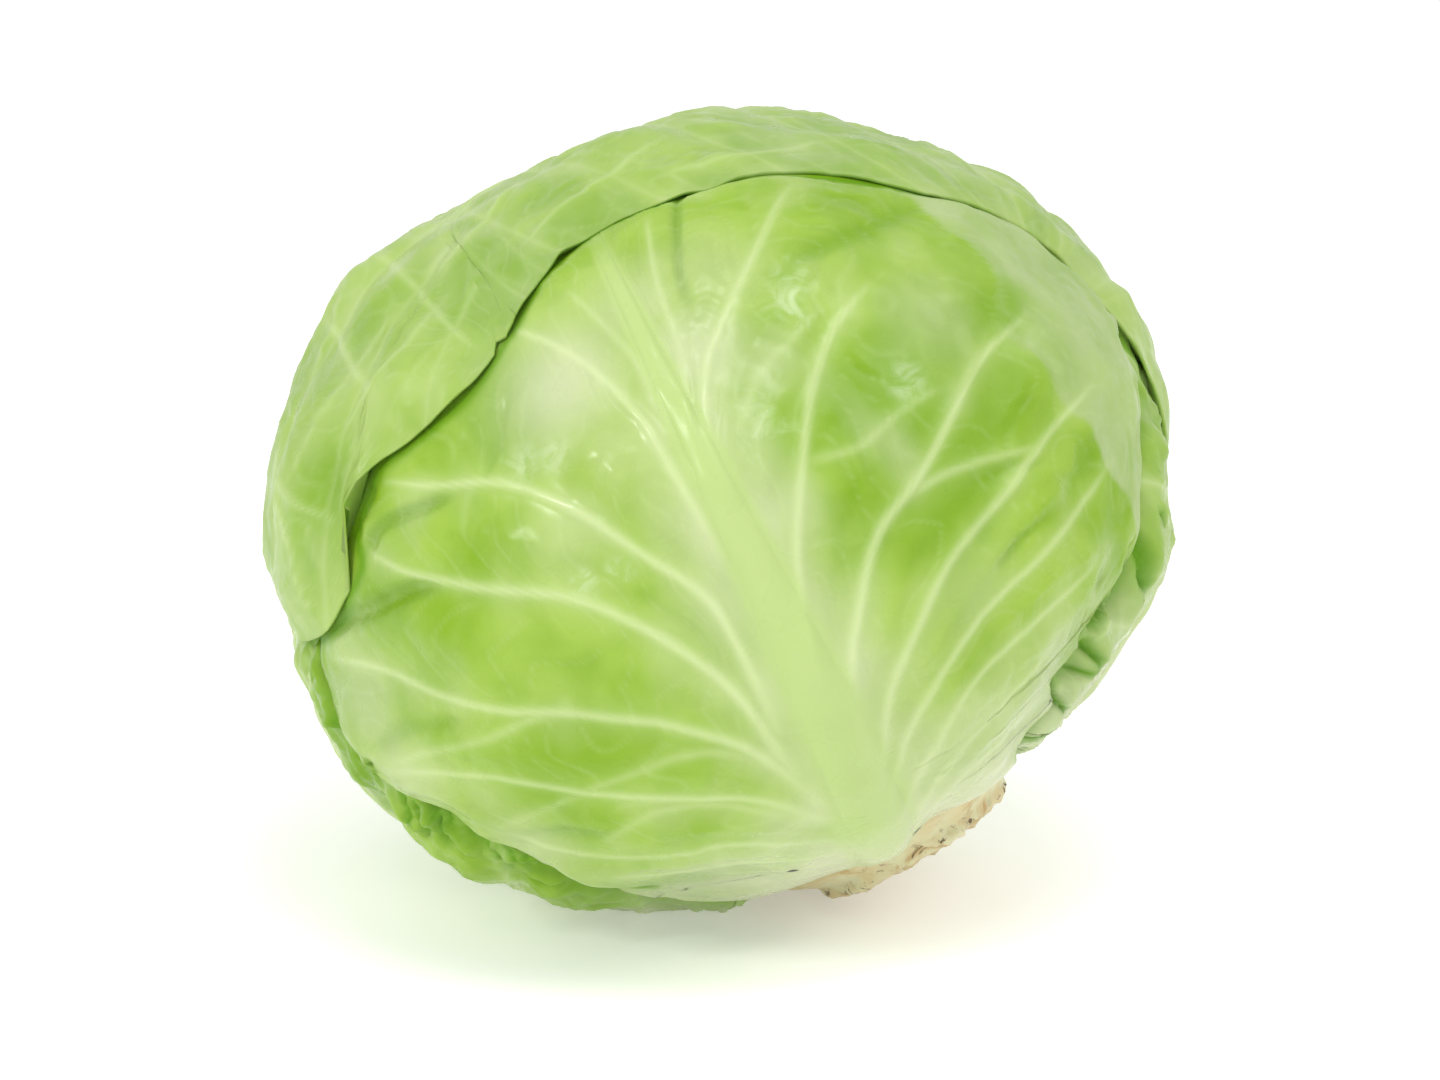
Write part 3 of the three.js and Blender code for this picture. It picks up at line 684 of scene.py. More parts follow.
# Slits along the front leaf's margin, in its degrees: depth and half-width in mm, points.
SLITS = [
    (1.2, 0.7, [(70, 103), (71, 89), (71, 77)]),
    (1.6, 0.8, [(62, 85), (64, 80), (67, 72)]),
    (1.2, 0.7, [(63, 74), (63, 67), (64, 58)]),
    (1.8, 0.9, [(57, 74), (58, 66), (59, 59), (59, 53)]),
    (1.8, 0.9, [(53, 66), (53, 60), (53, 56)]),
    (1.2, 0.9, [(46, 54), (45, 49), (45, 45)]),
    (0.8, 0.8, [(41, 48), (41, 43)]),
    (1.0, 0.8, [(41, 44), (37, 42), (34, 38)]),
    (1.3, 0.6, [(66, 83), (69, 74)]),
    (1.4, 0.6, [(61, 71), (61, 63), (63, 56)]),
    (1.2, 0.5, [(56, 69), (57, 61)]),
    (0.9, 0.6, [(50, 61), (49, 54), (51, 47)]),
    (0.7, 0.5, [(47, 57), (48, 50)]),
    (0.9, 0.6, [(44, 49), (43, 44), (40, 39)]),
    (1.2, 0.5, [(55, 62), (52, 52), (54, 44)]),
    (2.2, 0.9, [(-48, 48), (-47, 45), (-45, 40), (-44, 32)]),
    (1.2, 0.6, [(-52, 44), (-51, 40)]),
    (2.0, 0.8, [(-39, 44), (-36, 45), (-33, 44)]),
    (2.0, 0.8, [(-33, 43), (-33, 39), (-33, 34)]),
    (1.2, 0.6, [(-29, 42), (-31, 37), (-34, 33)]),
    (1.6, 0.6, [(-26, 43), (-26, 37), (-27, 24)]),
    (1.2, 0.7, [(-26, 25), (-22, 31), (-19, 34), (-17, 27)]),
    (1.4, 0.6, [(-16, 27), (-19, 26), (-21, 25)]),
]


def slits(base):
    """How deep in mm the slits are, and how strong the painted shade in them is."""
    depth = drawn_folds(LEAVES[FRONT], base, SLITS)
    slit_shade = drawn_folds(LEAVES[FRONT], base, [(1, SLIT_SHADE_WIDTH * width, points) for _, width, points in SLITS])
    return depth, slit_shade


def crush(base, front):
    """Displacement in mm of the layers under the front leaf, and the painted shade in the cleft along its
    margin and in its crevices.
    """
    bent = base + 3.0 * Ripple(14, seed=31)(base)[..., None]
    folds = np.abs(Ripple(17, seed=32)(bent)) - 0.9
    pleats = np.abs(Ripple(8, seed=33)(bent)) - 0.6
    leftwards = LEAVES[FRONT].frame.chart(base / MEAN_RADIUS)[0] / SIDE_TURN_DEG
    beyond = np.maximum(front, 0)
    near = ridge(beyond, CRUSH_REACH) * smooth((front + 3) / 4) * mix(0.6, 1, smooth(leftwards))
    swell = SWELL * ridge(front - SWELL_WAY, SWELL_WIDTH) * smooth(-leftwards)
    crevice = ridge(Ripple(11, seed=35)(bent), 0.2) * smooth(0.3 + Ripple(15, seed=36)(base))
    crevice = crevice * ridge(beyond, CREVICE_REACH) * (front > 0) * smooth(leftwards)
    pattern = cleft_pattern(base)
    # painted shade along the cleft under the front leaf's margin
    painted_cleft_shade = ridge(front - CLEFT_WAY, CLEFT_WIDTH) * pattern
    drop = CLEFT_DEPTH * ridge(front - CLEFT_WAY, 1.4 * CLEFT_WIDTH) * pattern
    pressed = drawn_folds(LEAVES[FRONT], base, FRONT_FOLDS) * (front < 0)
    crumpled = near * (CRUSH_DEPTH * folds + PLEAT_DEPTH * pleats)
    return crumpled + swell - drop - pressed - CREVICE_DEPTH * crevice, np.maximum(painted_cleft_shade, 0.5 * crevice)


# ---- how the top leaf's margin lies: pressed down, with short stretches that stand off
# Stretches: x, y and spread in degrees, share of the pressing that they undo, or add when below 0.
PRESS_DOWN = 1.25
STAND_OFFS = [
    (5, 235.5, 4, 0.9), (15, 227, 3, 0.7), (20, 219, 2, 0.6), (36, 207, 2.6, 0.7), (42, 205, 2.6, 0.6),
    (-13, 242, 4, 1.4), (76, 118, 11, -0.9),
]


def stand_off(grid):
    """The share of the pressing that is undone at each point."""
    total = np.zeros_like(grid.t)
    for x, y, spread, share in STAND_OFFS:
        middle = grid.leaf.frame.direction(x, y)
        total = total + share * ridge(angle_from(grid.d, middle), spread)
    return total


# ---- soft spots of a leaf's colour, and of painted highlights: x, y and spread in degrees, strength
SPECK_PLACES = [(-1, 32), (16, 38), (9, 26), (-4, 24), (-13, 27)]
LEAF_SPECK_DEG = 0.9
STEM_SPECK_DEG = 0.7
LEAF_SPOTS = {
    "leaf_front": {
        "pale": [
            (8, 118, 9, 0.75), (-7, 112, 8, 0.65), (-4, 122, 7, 0.5), (-14, 121, 8, 0.35),
            (16, 101, 6, 0.35), (56, 98, 8, 0.4), (54, 111, 6, 0.3), (-14, 107, 5, 0.4),
            (-37, 103, 7, 0.3), (55, 80, 7, 0.5), (44, 60, 7, 0.5)],
        "speck": [(x, y, LEAF_SPECK_DEG, 1) for x, y in SPECK_PLACES],
        # painted highlights: pale patches where the leaf is also glossier
        "gloss_and_painted_highlight": [
            (-20, 112, 4, 0.7), (-23, 116, 3, 0.7), (-10, 103, 3, 0.6), (-9, 98, 4, 0.6), (-28, 96, 3, 0.7),
            (17, 112, 3, 0.6), (13, 110, 3, 0.6), (17, 95, 2, 0.7), (13, 94, 2, 0.7)],
        "deep": [
            (-46, 99, 5, 0.9), (-47, 108, 6, 0.5), (-38, 119, 5, 0.3), (-47, 85, 5, 0.5),
            (-42, 80, 4, 0.5), (-15, 95, 5, 0.4), (-13, 84, 6, 0.6), (-25, 77, 6, 0.4),
            (28, 105, 5, 0.5), (38, 101, 7, 0.4), (41, 96, 5, 0.6), (28, 77, 7, 0.4),
            (48, 91, 4, 0.5), (36, 70, 6, 0.4), (44, 87, 2.5, 0.7), (32, 88, 3, 0.3)],
    },
    "leaf_top": {"deep": [(-17, 238, 6, 0.9), (4, 219, 7, 0.3), (-8, 215, 6, 0.4), (18, 203, 7, 0.3)]},
}


def spots(leaf, d, places):
    """How strong the spots of one colour are in each direction, from 0 to 1."""
    total = np.zeros(d.shape[:-1])
    for x, y, spread, strength in places:
        angle = angle_from(d, leaf.frame.direction(x, y))
        total = np.maximum(total, strength * ridge(angle, spread))
    return total


# ---- relief of a leaf over its own surface
GROWN_SHARE = 0.3
EDGE_REACH = 13.0
FRONT_PRESS = 0.9
STAND_OFF = 0.3
LIP_RISE = 0.35
FRILL = 0.5
DEEPEST = -1.2
GROOVE_DEPTH = 0.4


def leaf_veins(grid, seed):
    """Height, line, halo and swelling of all the leaf's veins: drawn ones, grown ones, or both."""
    if grid.leaf.name == "leaf_front":
        return drawn_veins(grid, FRONT_VEINS)
    grown = grown_veins(grid, seed)
    if grid.leaf.name != "leaf_top":
        return grown
    drawn = drawn_veins(grid, TOP_VEINS)
    joined = [np.maximum(a, GROWN_SHARE * b) for a, b in zip(drawn[:3], grown[:3])]
    return *joined, grown[3]


def leaf_folds(grid):
    folds = {"leaf_front": FRONT_FOLDS, "leaf_top": TOP_FOLDS}.get(grid.leaf.name, [])
    return drawn_folds(grid.leaf, grid.base, folds)


def rib_relief(grid):
    """Height in mm of the midrib with its flanks, and where its colour lies."""
    leaf = grid.leaf
    on_rib = grid.side[None, :] == 0
    flank_way = np.maximum(grid.rib_way - math.radians(1) * MEAN_RADIUS * leaf.rib_half_width(grid.y), 0)
    flank_width = mix(4.5, 1.4, smooth(leaf.share_along(grid.y)))
    crown = 1 - 0.62 * np.abs(grid.rib_share) ** 2.4
    rib = leaf.rib_profile(grid.y) * np.where(on_rib, crown, 0.38 * ridge(flank_way, flank_width))
    return rib, np.where(on_rib, 1, ridge(flank_way, 0.5 * flank_width)) * leaf.rib_shown(grid.y)


def puckering(grid, cell, medium, small, rooted, seed):
    """Fine unevenness in mm: the net's cells, lumps, streaks along the veins and creases."""
    crease = 1 - np.hypot(Ripple(17, seed=seed + 5)(grid.base + 2.5 * small[..., None]), 0.15)
    along_veins = np.stack([grid.run / 4, grid.place * 9, 0 * grid.place], -1)
    streak = Ripple(7, seed=seed + 3)(along_veins) * rooted
    uneven = 0.35 * cell + 0.28 * medium + 0.13 * small + 0.22 * streak
    return grid.leaf.pucker * (uneven + 0.25 * np.clip(crease, -1, 1) * rooted)


def laid_margin(grid, relief, near_edge, awake, over, inset):
    """The relief with the top leaf's margin pressed down, or the front leaf's lifted and pressed in turn."""
    if grid.leaf.name == "leaf_top":
        pressed = near_edge * (1 - stand_off(grid))
        return relief * (1 - 0.75 * pressed) - PRESS_DOWN * pressed
    if grid.leaf.name == "leaf_front":
        rise = mix(-FRONT_PRESS, STAND_OFF, cleft_pattern(grid.base))
        return relief + rise * smooth(1 - inset / 6) * awake * smooth((over - 2) / 6)
    return relief


def leaf_relief(grid, free, over, inset, seed):
    """Height in mm over the leaf's own surface, with the masks that its colour and its painted shade in
    hollows and folds need.
    """
    leaf, base = grid.leaf, grid.base
    awake = smooth((grid.place - 0.3) / 2.2)
    near_edge = smooth(1 - inset / EDGE_REACH) * awake
    broad, medium, small = (Ripple(size, seed=seed + size)(base) for size in (46, 21, 9))
    vein, line, halo, dome = leaf_veins(grid, seed)
    rooted = (1 - leaf.rib_shown(grid.y) * (1 - smooth(grid.run / 8))) * smooth((grid.gauge - 4) / 5)
    net, cell = net_relief(grid, medium, rooted)
    rib, rib_mask = rib_relief(grid)

    beside_rib = 1 - leaf.rib_shown(grid.y) * (1 - smooth((grid.run - 2) / 12))
    between = leaf.puff * (1 + 0.35 * broad) * dome * beside_rib * smooth(inset / 6)
    edge_wave = leaf.wave * near_edge * (0.4 + 0.6 * Ripple(31, seed=seed + 9)(base))
    pucker = puckering(grid, cell, medium, small, rooted, seed)
    frill = FRILL * smooth(1 - inset / 7) * Ripple(13, seed=seed + 8)(base)
    lip = LIP_RISE * smooth(1 - inset / 2)
    fold = leaf_folds(grid)

    relief = rib + vein + edge_wave + (between + pucker + frill + lip + 0.7 * broad) * awake + 0.05 * net
    # a soft lower bound keeps hollows from cutting into the leaf below
    relief = np.logaddexp(3 * relief, 3 * DEEPEST) / 3 - fold
    groove = GROOVE_DEPTH * ridge(over - 0.5, 2.2) * (over > -8)
    relief = laid_margin(grid, relief * free - groove, near_edge, awake, over, inset)
    # deeper green: partly the blade's own tone, partly painted shade in low puckers and folds
    hollow_shade_and_tone = 0.5 - 0.32 * (pucker + 0.6 * broad) + 0.22 * (dome - 0.4)
    looks = {
        "vein": np.clip(line, 0, 1),
        "halo": np.clip(halo, 0, 1),
        "net": net,
        "rib": np.clip(rib_mask, 0, 1),
        "tone_and_hollow_shade": np.clip(hollow_shade_and_tone + 0.45 * np.clip(fold, 0, 1.4), 0, 1),
    }
    return relief, looks


# ---- leaves as closed thin shells
INNER_STEP = 8


def lowest_near(field, steps):
    """The least value within some steps along both directions of a grid."""
    padded = np.pad(field, steps, mode="edge")
    rows, columns = field.shape
    across = np.minimum.reduce([padded[k:k + rows] for k in range(2 * steps + 1)])
    return np.minimum.reduce([across[:, k:k + columns] for k in range(2 * steps + 1)])


def coarse_marks(count, step):
    return sorted({*range(0, count, step), count - 1})


def shell_mesh(name, outer, inner, looks):
    """A closed shell: a fine outer face, a coarse inner face and a narrow rim between them."""
    rows, columns = outer.shape[:2]
    marks_r, marks_c = coarse_marks(rows, INNER_STEP), coarse_marks(columns, INNER_STEP)
    outer_id = np.arange(rows * columns).reshape(rows, columns)
    keep = np.zeros((rows, columns), bool)
    keep[np.ix_(marks_r, marks_c)] = True
    keep[[0, -1]] = True
    keep[:, [0, -1]] = True
    inner_id = np.full((rows, columns), -1)
    inner_id[keep] = rows * columns + np.arange(keep.sum())
    points = np.concatenate([outer.reshape(-1, 3), inner[keep]])

    a, b = outer_id[:-1, :-1].ravel(), outer_id[:-1, 1:].ravel()
    c, e = outer_id[1:, 1:].ravel(), outer_id[1:, :-1].ravel()
    faces = np.stack([a, e, c, b], -1).tolist()
    for r0, r1 in zip(marks_r, marks_r[1:]):
        for c0, c1 in zip(marks_c, marks_c[1:]):
            top = range(c0, c1) if r0 == 0 else [c0]
            right = range(r0, r1) if c1 == columns - 1 else [r0]
            bottom = range(c1, c0, -1) if r1 == rows - 1 else [c1]
            left = range(r1, r0, -1) if c0 == 0 else [r1]
            loop = [inner_id[r0, c] for c in top] + [inner_id[r, c1] for r in right]
            loop += [inner_id[r1, c] for c in bottom] + [inner_id[r, c0] for r in left]
            faces.append([int(i) for i in loop])
    rim = [(0, c) for c in range(columns - 1)] + [(r, columns - 1) for r in range(rows - 1)]
    rim += [(rows - 1, c) for c in range(columns - 1, 0, -1)] + [(r, 0) for r in range(rows - 1, 0, -1)]
    for start, end in zip(rim, rim[1:] + rim[:1]):
        faces.append([int(outer_id[start]), int(outer_id[end]), int(inner_id[end]), int(inner_id[start])])
    mesh = mesh_from(name, points, faces)
    for key, field in looks.items():
        set_mask(mesh, key, [field.ravel(), field[keep]])
    return mesh


def mesh_from(name, points_mm, faces):
    mesh = bpy.data.meshes.new(name)
    mesh.from_pydata((np.asarray(points_mm) * MM).tolist(), [], faces)
    mesh.shade_smooth()
    mesh.update()
    return mesh


def set_mask(mesh, key, parts):
    values = np.concatenate(parts).astype(np.float32)
    mesh.attributes.new(key, "FLOAT", "POINT").data.foreach_set("value", values)


def add_object(name, data):
    made = bpy.data.objects.new(name, data)
    bpy.context.scene.collection.objects.link(made)
    return made


def place_piece(name, mesh, node, material):
    piece = add_object(name, mesh)
    mesh.materials.append(material)
    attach(piece, "root")
    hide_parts(node)
    return piece


# ---- materials
def srgb(red, green, blue):
    channels = [c / 255 for c in (red, green, blue)]
    return (*[c / 12.92 if c <= 0.04045 else ((c + 0.055) / 1.055) ** 2.4 for c in channels], 1.0)


class Finish:
    """A node material round one principled shader, with short calls for its nodes."""

    def __init__(self, name, **fixed):
        self.material = bpy.data.materials.new(name)
        self.material.use_nodes = True
        self.tree = self.material.node_tree
        self.shader = self.tree.nodes["Principled BSDF"]
        for socket, value in fixed.items():
            self.shader.inputs[socket.replace("_", " ")].default_value = value
        self.where = self.add("ShaderNodeTexCoord").outputs["Object"]

    def add(self, kind, settings=None, **inputs):
        node = self.tree.nodes.new(kind)
        for key, value in (settings or {}).items():
            setattr(node, key, value)
        for key, value in inputs.items():
            self.feed(node.inputs[key.replace("_", " ")], value)
        return node

    def feed(self, socket, value):
        if isinstance(value, bpy.types.NodeSocket):
            self.tree.links.new(value, socket)
        else:
            socket.default_value = value

    def mask(self, name):
        return self.add("ShaderNodeAttribute", {"attribute_name": name}).outputs["Fac"]

    def noise(self, size_mm, detail=3.0, rough=0.5, warp=0.0):
        scale = 1 / (size_mm * MM)
        node = self.add("ShaderNodeTexNoise", Vector=self.where, Scale=scale, Detail=detail, Roughness=rough)
        node.inputs["Distortion"].default_value = warp
        return node.outputs["Fac"]

    def cells(self, size_mm, vector=None):
        node = self.add("ShaderNodeTexVoronoi", {"feature": "DISTANCE_TO_EDGE"}, Scale=1 / (size_mm * MM))
        self.feed(node.inputs["Vector"], vector or self.where)
        return node.outputs["Distance"]

    def warped(self, size_mm, by_mm):
        noise = self.add("ShaderNodeTexNoise", Vector=self.where, Scale=1 / (size_mm * MM), Detail=2.0)
        centred = self.add("ShaderNodeVectorMath", {"operation": "SUBTRACT"})
        self.feed(centred.inputs[0], noise.outputs["Color"])
        centred.inputs[1].default_value = (0.5, 0.5, 0.5)
        moved = self.add("ShaderNodeVectorMath", {"operation": "MULTIPLY_ADD"})
        self.feed(moved.inputs[0], centred.outputs[0])
        moved.inputs[1].default_value = (by_mm * MM * 2,) * 3
        self.feed(moved.inputs[2], self.where)
        return moved.outputs[0]

    def span(self, value, low, high, to_low=0.0, to_high=1.0):
        node = self.add("ShaderNodeMapRange", {"interpolation_type": "SMOOTHSTEP"})
        for socket, number in zip(node.inputs, (value, low, high, to_low, to_high)):
            self.feed(socket, number)
        return node.outputs["Result"]

    def math(self, operation, a, b):
        node = self.add("ShaderNodeMath", {"operation": operation})
        self.feed(node.inputs[0], a)
        self.feed(node.inputs[1], b)
        return node.outputs[0]

    def times(self, a, b):
        return self.math("MULTIPLY", a, b)

    def plus(self, a, b):
        return self.math("ADD", a, b)

    def over(self, colour, layers):
        """The colour with others laid over it in turn, each as far as its factor says."""
        for factor, layer in layers:
            colour = self.tint(factor, colour, layer)
        return colour

    def tint(self, factor, colour_a, colour_b):
        node = self.add("ShaderNodeMix", {"data_type": "RGBA"})
        for index, value in ((0, factor), (6, colour_a), (7, colour_b)):
            self.feed(node.inputs[index], value)
        return node.outputs[2]

    def bump(self, height, depth_mm, under=None):
        node = self.add("ShaderNodeBump", Height=height, Distance=depth_mm * MM, Strength=1.0)
        if under is not None:
            self.feed(node.inputs["Normal"], under)
        return node.outputs["Normal"]

    def finish(self, colour, roughness, normal):
        for socket, value in (("Base Color", colour), ("Roughness", roughness), ("Normal", normal)):
            self.feed(self.shader.inputs[socket], value)
        return self.material


# painted shade: the dark green laid in slits, crevices and gaps where shade falls
CLEFT_PAINTED_SHADE = srgb(90, 142, 0)
BLADE_DEEP = srgb(112, 154, 0)
BLADE_GREEN = srgb(128, 166, 20)
BLADE_LIGHT = srgb(150, 182, 66)
WAX_AND_REFLECTION_GREY = srgb(166, 183, 130)
HALO_PALE = srgb(168, 193, 110)
BASE_PALE = srgb(200, 206, 170)
VEIN_PALE = srgb(204, 217, 164)
RIB_GREEN = srgb(176, 198, 124)
HEEL_CREAM = srgb(213, 204, 166)
PAINTED_HIGHLIGHT_PALE = srgb(205, 220, 182)
SPECK_DARK = srgb(40, 34, 20)
INNER_PALE = srgb(186, 202, 132)
INNER_GREEN = srgb(160, 188, 92)
INNER_LINE = srgb(206, 216, 160)
RIND_PALE = srgb(216, 214, 176)
RIND_DEEP = srgb(212, 198, 154)
CORE_PALE = srgb(226, 216, 182)
CORE_DEEP = srgb(204, 190, 148)
BLOTCH = srgb(188, 158, 106)
BRUISE_DARK = srgb(84, 58, 34)


def leaf_finish():
    f = Finish(
        "waxy_cabbage_leaf", Specular_IOR_Level=0.22, Coat_Weight=0.07, Coat_Roughness=0.2,
        Subsurface_Weight=0.16, Subsurface_Scale=0.0015, Subsurface_Radius=(0.7, 1.0, 0.25))
    # painted highlights, broken up, on patches that are also glossier
    torn = f.span(f.noise(5, 4, 0.6, 1.0), 0.38, 0.62, 0.15, 1.0)
    gloss_and_painted_highlight = f.times(f.span(f.mask("gloss_and_painted_highlight"), 0.1, 0.7), torn)
    colour = f.over(BLADE_GREEN, [
        (f.span(f.noise(20, 3, 0.55, 0.4), 0.36, 0.64), BLADE_LIGHT),
        # deeper green from the blade's own tone and from painted shade in hollows and folds
        (f.times(f.span(f.mask("tone_and_hollow_shade"), 0.42, 0.95), 0.9), BLADE_DEEP),
        (f.times(f.span(f.noise(5, 4, 0.6), 0.35, 0.7), 0.12), BLADE_LIGHT),
        # waxy bloom, and on the front leaf a painted reflection band
        (f.times(f.mask("wax"), f.span(f.noise(9, 4, 0.6), 0.2, 0.8, 0.45, 1.0)), WAX_AND_REFLECTION_GREY),
        (f.times(f.mask("halo"), 0.6), HALO_PALE),
        (f.mask("pale"), BASE_PALE),
        (f.times(f.mask("deep"), f.span(f.noise(8, 3, 0.5, 0.5), 0.25, 0.6, 0.5, 1.0)), BLADE_DEEP),
        (f.times(f.mask("net"), 0.1), VEIN_PALE),
        (f.times(f.mask("vein"), 0.62), VEIN_PALE),
        (f.mask("rib"), RIB_GREEN),
        (f.times(f.mask("heel"), 0.85), HEEL_CREAM),
        # painted shade in the slits, crevices and gaps
        (f.mask("painted_cleft_shade"), CLEFT_PAINTED_SHADE),
        (f.span(f.mask("speck"), 0.25, 0.6), SPECK_DARK),
        # painted highlight
        (f.times(gloss_and_painted_highlight, 0.42), PAINTED_HIGHLIGHT_PALE),
    ])
    roughness = f.plus(f.times(f.span(f.noise(9, 3, 0.5, 0.8), 0.3, 0.7), 0.22), 0.2)
    for mask, change in ((f.mask("wax"), 0.16), (gloss_and_painted_highlight, -0.1), (f.mask("painted_cleft_shade"), 0.3)):
        roughness = f.plus(roughness, f.times(mask, change))
    skin = f.bump(f.noise(1.2, 2, 0.5), 0.01)
    return f.finish(colour, roughness, f.bump(f.noise(12, 2, 0.5), 0.6, skin))


def inner_finish():
    f = Finish("tight_inner_leaf", Subsurface_Weight=0.2, Subsurface_Scale=0.003, Specular_IOR_Level=0.4)
    lines = f.span(f.cells(6, f.warped(9, 3)), 0.0, 0.08, 1.0, 0.0)
    colour = f.over(INNER_PALE, [
        (f.span(f.noise(18, 3), 0.35, 0.65), INNER_GREEN),
        (f.times(lines, 0.4), INNER_LINE),
    ])
    roughness = f.span(f.noise(7, 3), 0.3, 0.7, 0.42, 0.58)
    return f.finish(colour, roughness, f.bump(f.plus(f.noise(3, 3), lines), 0.2))


def stem_finish():
    f = Finish("cut_stem", Subsurface_Weight=0.15, Subsurface_Scale=0.002, Specular_IOR_Level=0.25)
    fibres = f.noise(3.5, 5, 0.65, 0.6)
    bruise = f.mask("bruise")
    core = f.tint(f.span(fibres, 0.35, 0.7), CORE_PALE, CORE_DEEP)
    blotches = f.span(f.noise(8, 5, 0.6, 1.0), 0.5, 0.68)
    colour = f.over(RIND_PALE, [
        (f.span(f.noise(7, 3), 0.35, 0.65), RIND_DEEP),
        (f.mask("cut"), core),
        (f.times(blotches, f.span(bruise, 0.1, 0.9, 0.1, 0.9)), BLOTCH),
        (f.times(f.span(f.noise(3.2, 4, 0.7, 0.8), 0.56, 0.66), bruise), BRUISE_DARK),
        (f.span(f.mask("speck"), 0.2, 0.5), SPECK_DARK),
    ])
    roughness = f.span(fibres, 0.3, 0.7, 0.55, 0.8)
    rough_skin = f.bump(f.noise(0.8, 4, 0.7), 0.12)
    return f.finish(colour, roughness, f.bump(fibres, 0.3, rough_skin))


# ---- pieces
# Grids: rows from one side vein to the next, columns on each side of the midrib, columns over it.
LEAF_GRIDS = {"leaf_front": (25, 130, 19), "leaf_top": (20, 130, 19)}
OTHER_GRID = (28, 100, 15)
GRID_SEED = 10
RELIEF_SEED = 60
RELIEF_SEED_STEP = 7
BLADE_EDGE = 0.55
BLADE_BODY = 1.1
REFLECTION_BAND_EDGE_X = -46.5
PALE_EDGE_DEG = 69
HEEL_EDGE_DEG = 31.5
# strength of the painted shade in the gap under the top leaf's margin
GAP_PAINTED_SHADE = 0.8
SHADE_REACH = 16
SLACK = 0.8
FOOT_SINK = 2.6
FOOT_ANGLE_DEG = 22.5


def colour_masks(grid, looks):
    """Adds the masks of the leaf's own colours, of a painted reflection band and of painted highlights to
    those that come with its relief.
    """
    leaf = grid.leaf
    wobble = Ripple(14, seed=5)(grid.base)
    near_base = smooth((PALE_EDGE_DEG - grid.from_stem) / 38)
    near_rib = 0.55 * ridge(grid.rib_way, 13) * smooth((1.0 - leaf.share_along(grid.y)) / 0.5)
    pale = np.clip(np.maximum(near_base, near_rib) + 0.08 * wobble, 0, 0.95)
    # painted reflection: a grey band on the front leaf's right side, where its surface turns away
    reflection_band = smooth((REFLECTION_BAND_EDGE_X + 1.2 * wobble - grid.x) / 1.3) if leaf.name == "leaf_front" else 0
    for key in ("pale", "speck", "gloss_and_painted_highlight", "deep"):
        looks[key] = spots(leaf, grid.d, LEAF_SPOTS.get(leaf.name, {}).get(key, []))
    looks["pale"] = np.maximum(pale, looks["pale"])
    looks["painted_cleft_shade"] = 0 * grid.t
    looks["wax"] = np.clip(leaf.wax + 0.85 * reflection_band, 0, 1) + 0 * grid.t
    looks["rib"] = looks["rib"] * (0.9 - 0.45 * near_base)
    looks["heel"] = smooth((HEEL_EDGE_DEG + 1.2 * wobble - grid.from_stem) / 6)


def cut_slits(grid, looks, over):
    """Depth in mm of the slits along the front leaf's margin, with the painted shade in them and in the gap
    under the top leaf's margin added to the masks.
    """
    depth, slit_shade = slits(grid.base)
    looks["painted_cleft_shade"] = np.maximum(slit_shade, GAP_PAINTED_SHADE * ridge(over - 0.4, 1.6))
    return depth


def crumple(grid, looks, front):
    """Crumpling in mm beside the front leaf's margin, with the painted shade there added to the masks."""
    rise, painted_cleft_shade = crush(grid.base, front)
    shade = ridge(np.maximum(front, 0), SHADE_REACH) * grid.leaf.shade
    looks["tone_and_hollow_shade"] = np.clip(looks["tone_and_hollow_shade"] + 0.5 * shade - 0.14 * rise, 0, 1)
    for key in ("pale", "halo", "vein"):
        looks[key] = looks[key] * (1 - 0.8 * shade)
    looks["painted_cleft_shade"] = np.maximum.reduce([looks["painted_cleft_shade"], painted_cleft_shade, 0.3 * shade])
    return rise


def make_leaf(level, material):
    leaf = LEAVES[level]
    grid = LeafGrid(leaf, *LEAF_GRIDS.get(leaf.name, OTHER_GRID), seed=GRID_SEED + level)
    surface, above, over, front, inset = spread_fields(level, grid.d)
    # relief fades out under the leaves that lie over this one
    free = smooth((over + 2.5) / 6) if level >= FRONT else smooth((over - 0.5) / 7)
    relief, looks = leaf_relief(grid, free, over, inset, RELIEF_SEED + RELIEF_SEED_STEP * level)
    colour_masks(grid, looks)
    if level <= FRONT:
        relief = relief - cut_slits(grid, looks, over)
    if level < FRONT:
        relief = relief + crumple(grid, looks, front)
    sink = SLACK + FOOT_SINK * smooth((FOOT_ANGLE_DEG - grid.from_stem) / 3)
    reach = over_floor(surface + relief - sink, grid.d, above)
    thickness = mix(BLADE_BODY, BLADE_EDGE, smooth(1 - inset / 10))
    outer = HEAD_CENTRE + grid.d * reach[..., None]
    under = mix(reach, lowest_near(reach, INNER_STEP), smooth(inset / 6)) - thickness
    inner = HEAD_CENTRE + grid.d * under[..., None]
    mesh = shell_mesh(leaf.name + "_blade", outer, inner, looks)
    place_piece(leaf.name + "_blade", mesh, leaf.name, material)


def ringed_mesh(name, first, rings, last):
    """A closed body from a first pole, rings of points and a last pole, with the rings turning outwards."""
    rings = np.asarray(rings)
    total, count = rings.shape[:2]
    points = np.concatenate([[first], [last], rings.reshape(-1, 3)])

    def at(ring, k):
        return 2 + ring * count + k % count

    faces = [[0, at(0, k), at(0, k + 1)] for k in range(count)]
    faces += [[1, at(total - 1, k + 1), at(total - 1, k)] for k in range(count)]
    for ring in range(total - 1):
        faces += [[at(ring, k), at(ring + 1, k), at(ring + 1, k + 1), at(ring, k + 1)] for k in range(count)]
    return mesh_from(name, points, faces)


def around_stem(turns):
    return np.cos(turns)[:, None] * FRONT_FROM_STEM + np.sin(turns)[:, None] * SIDE_FROM_STEM


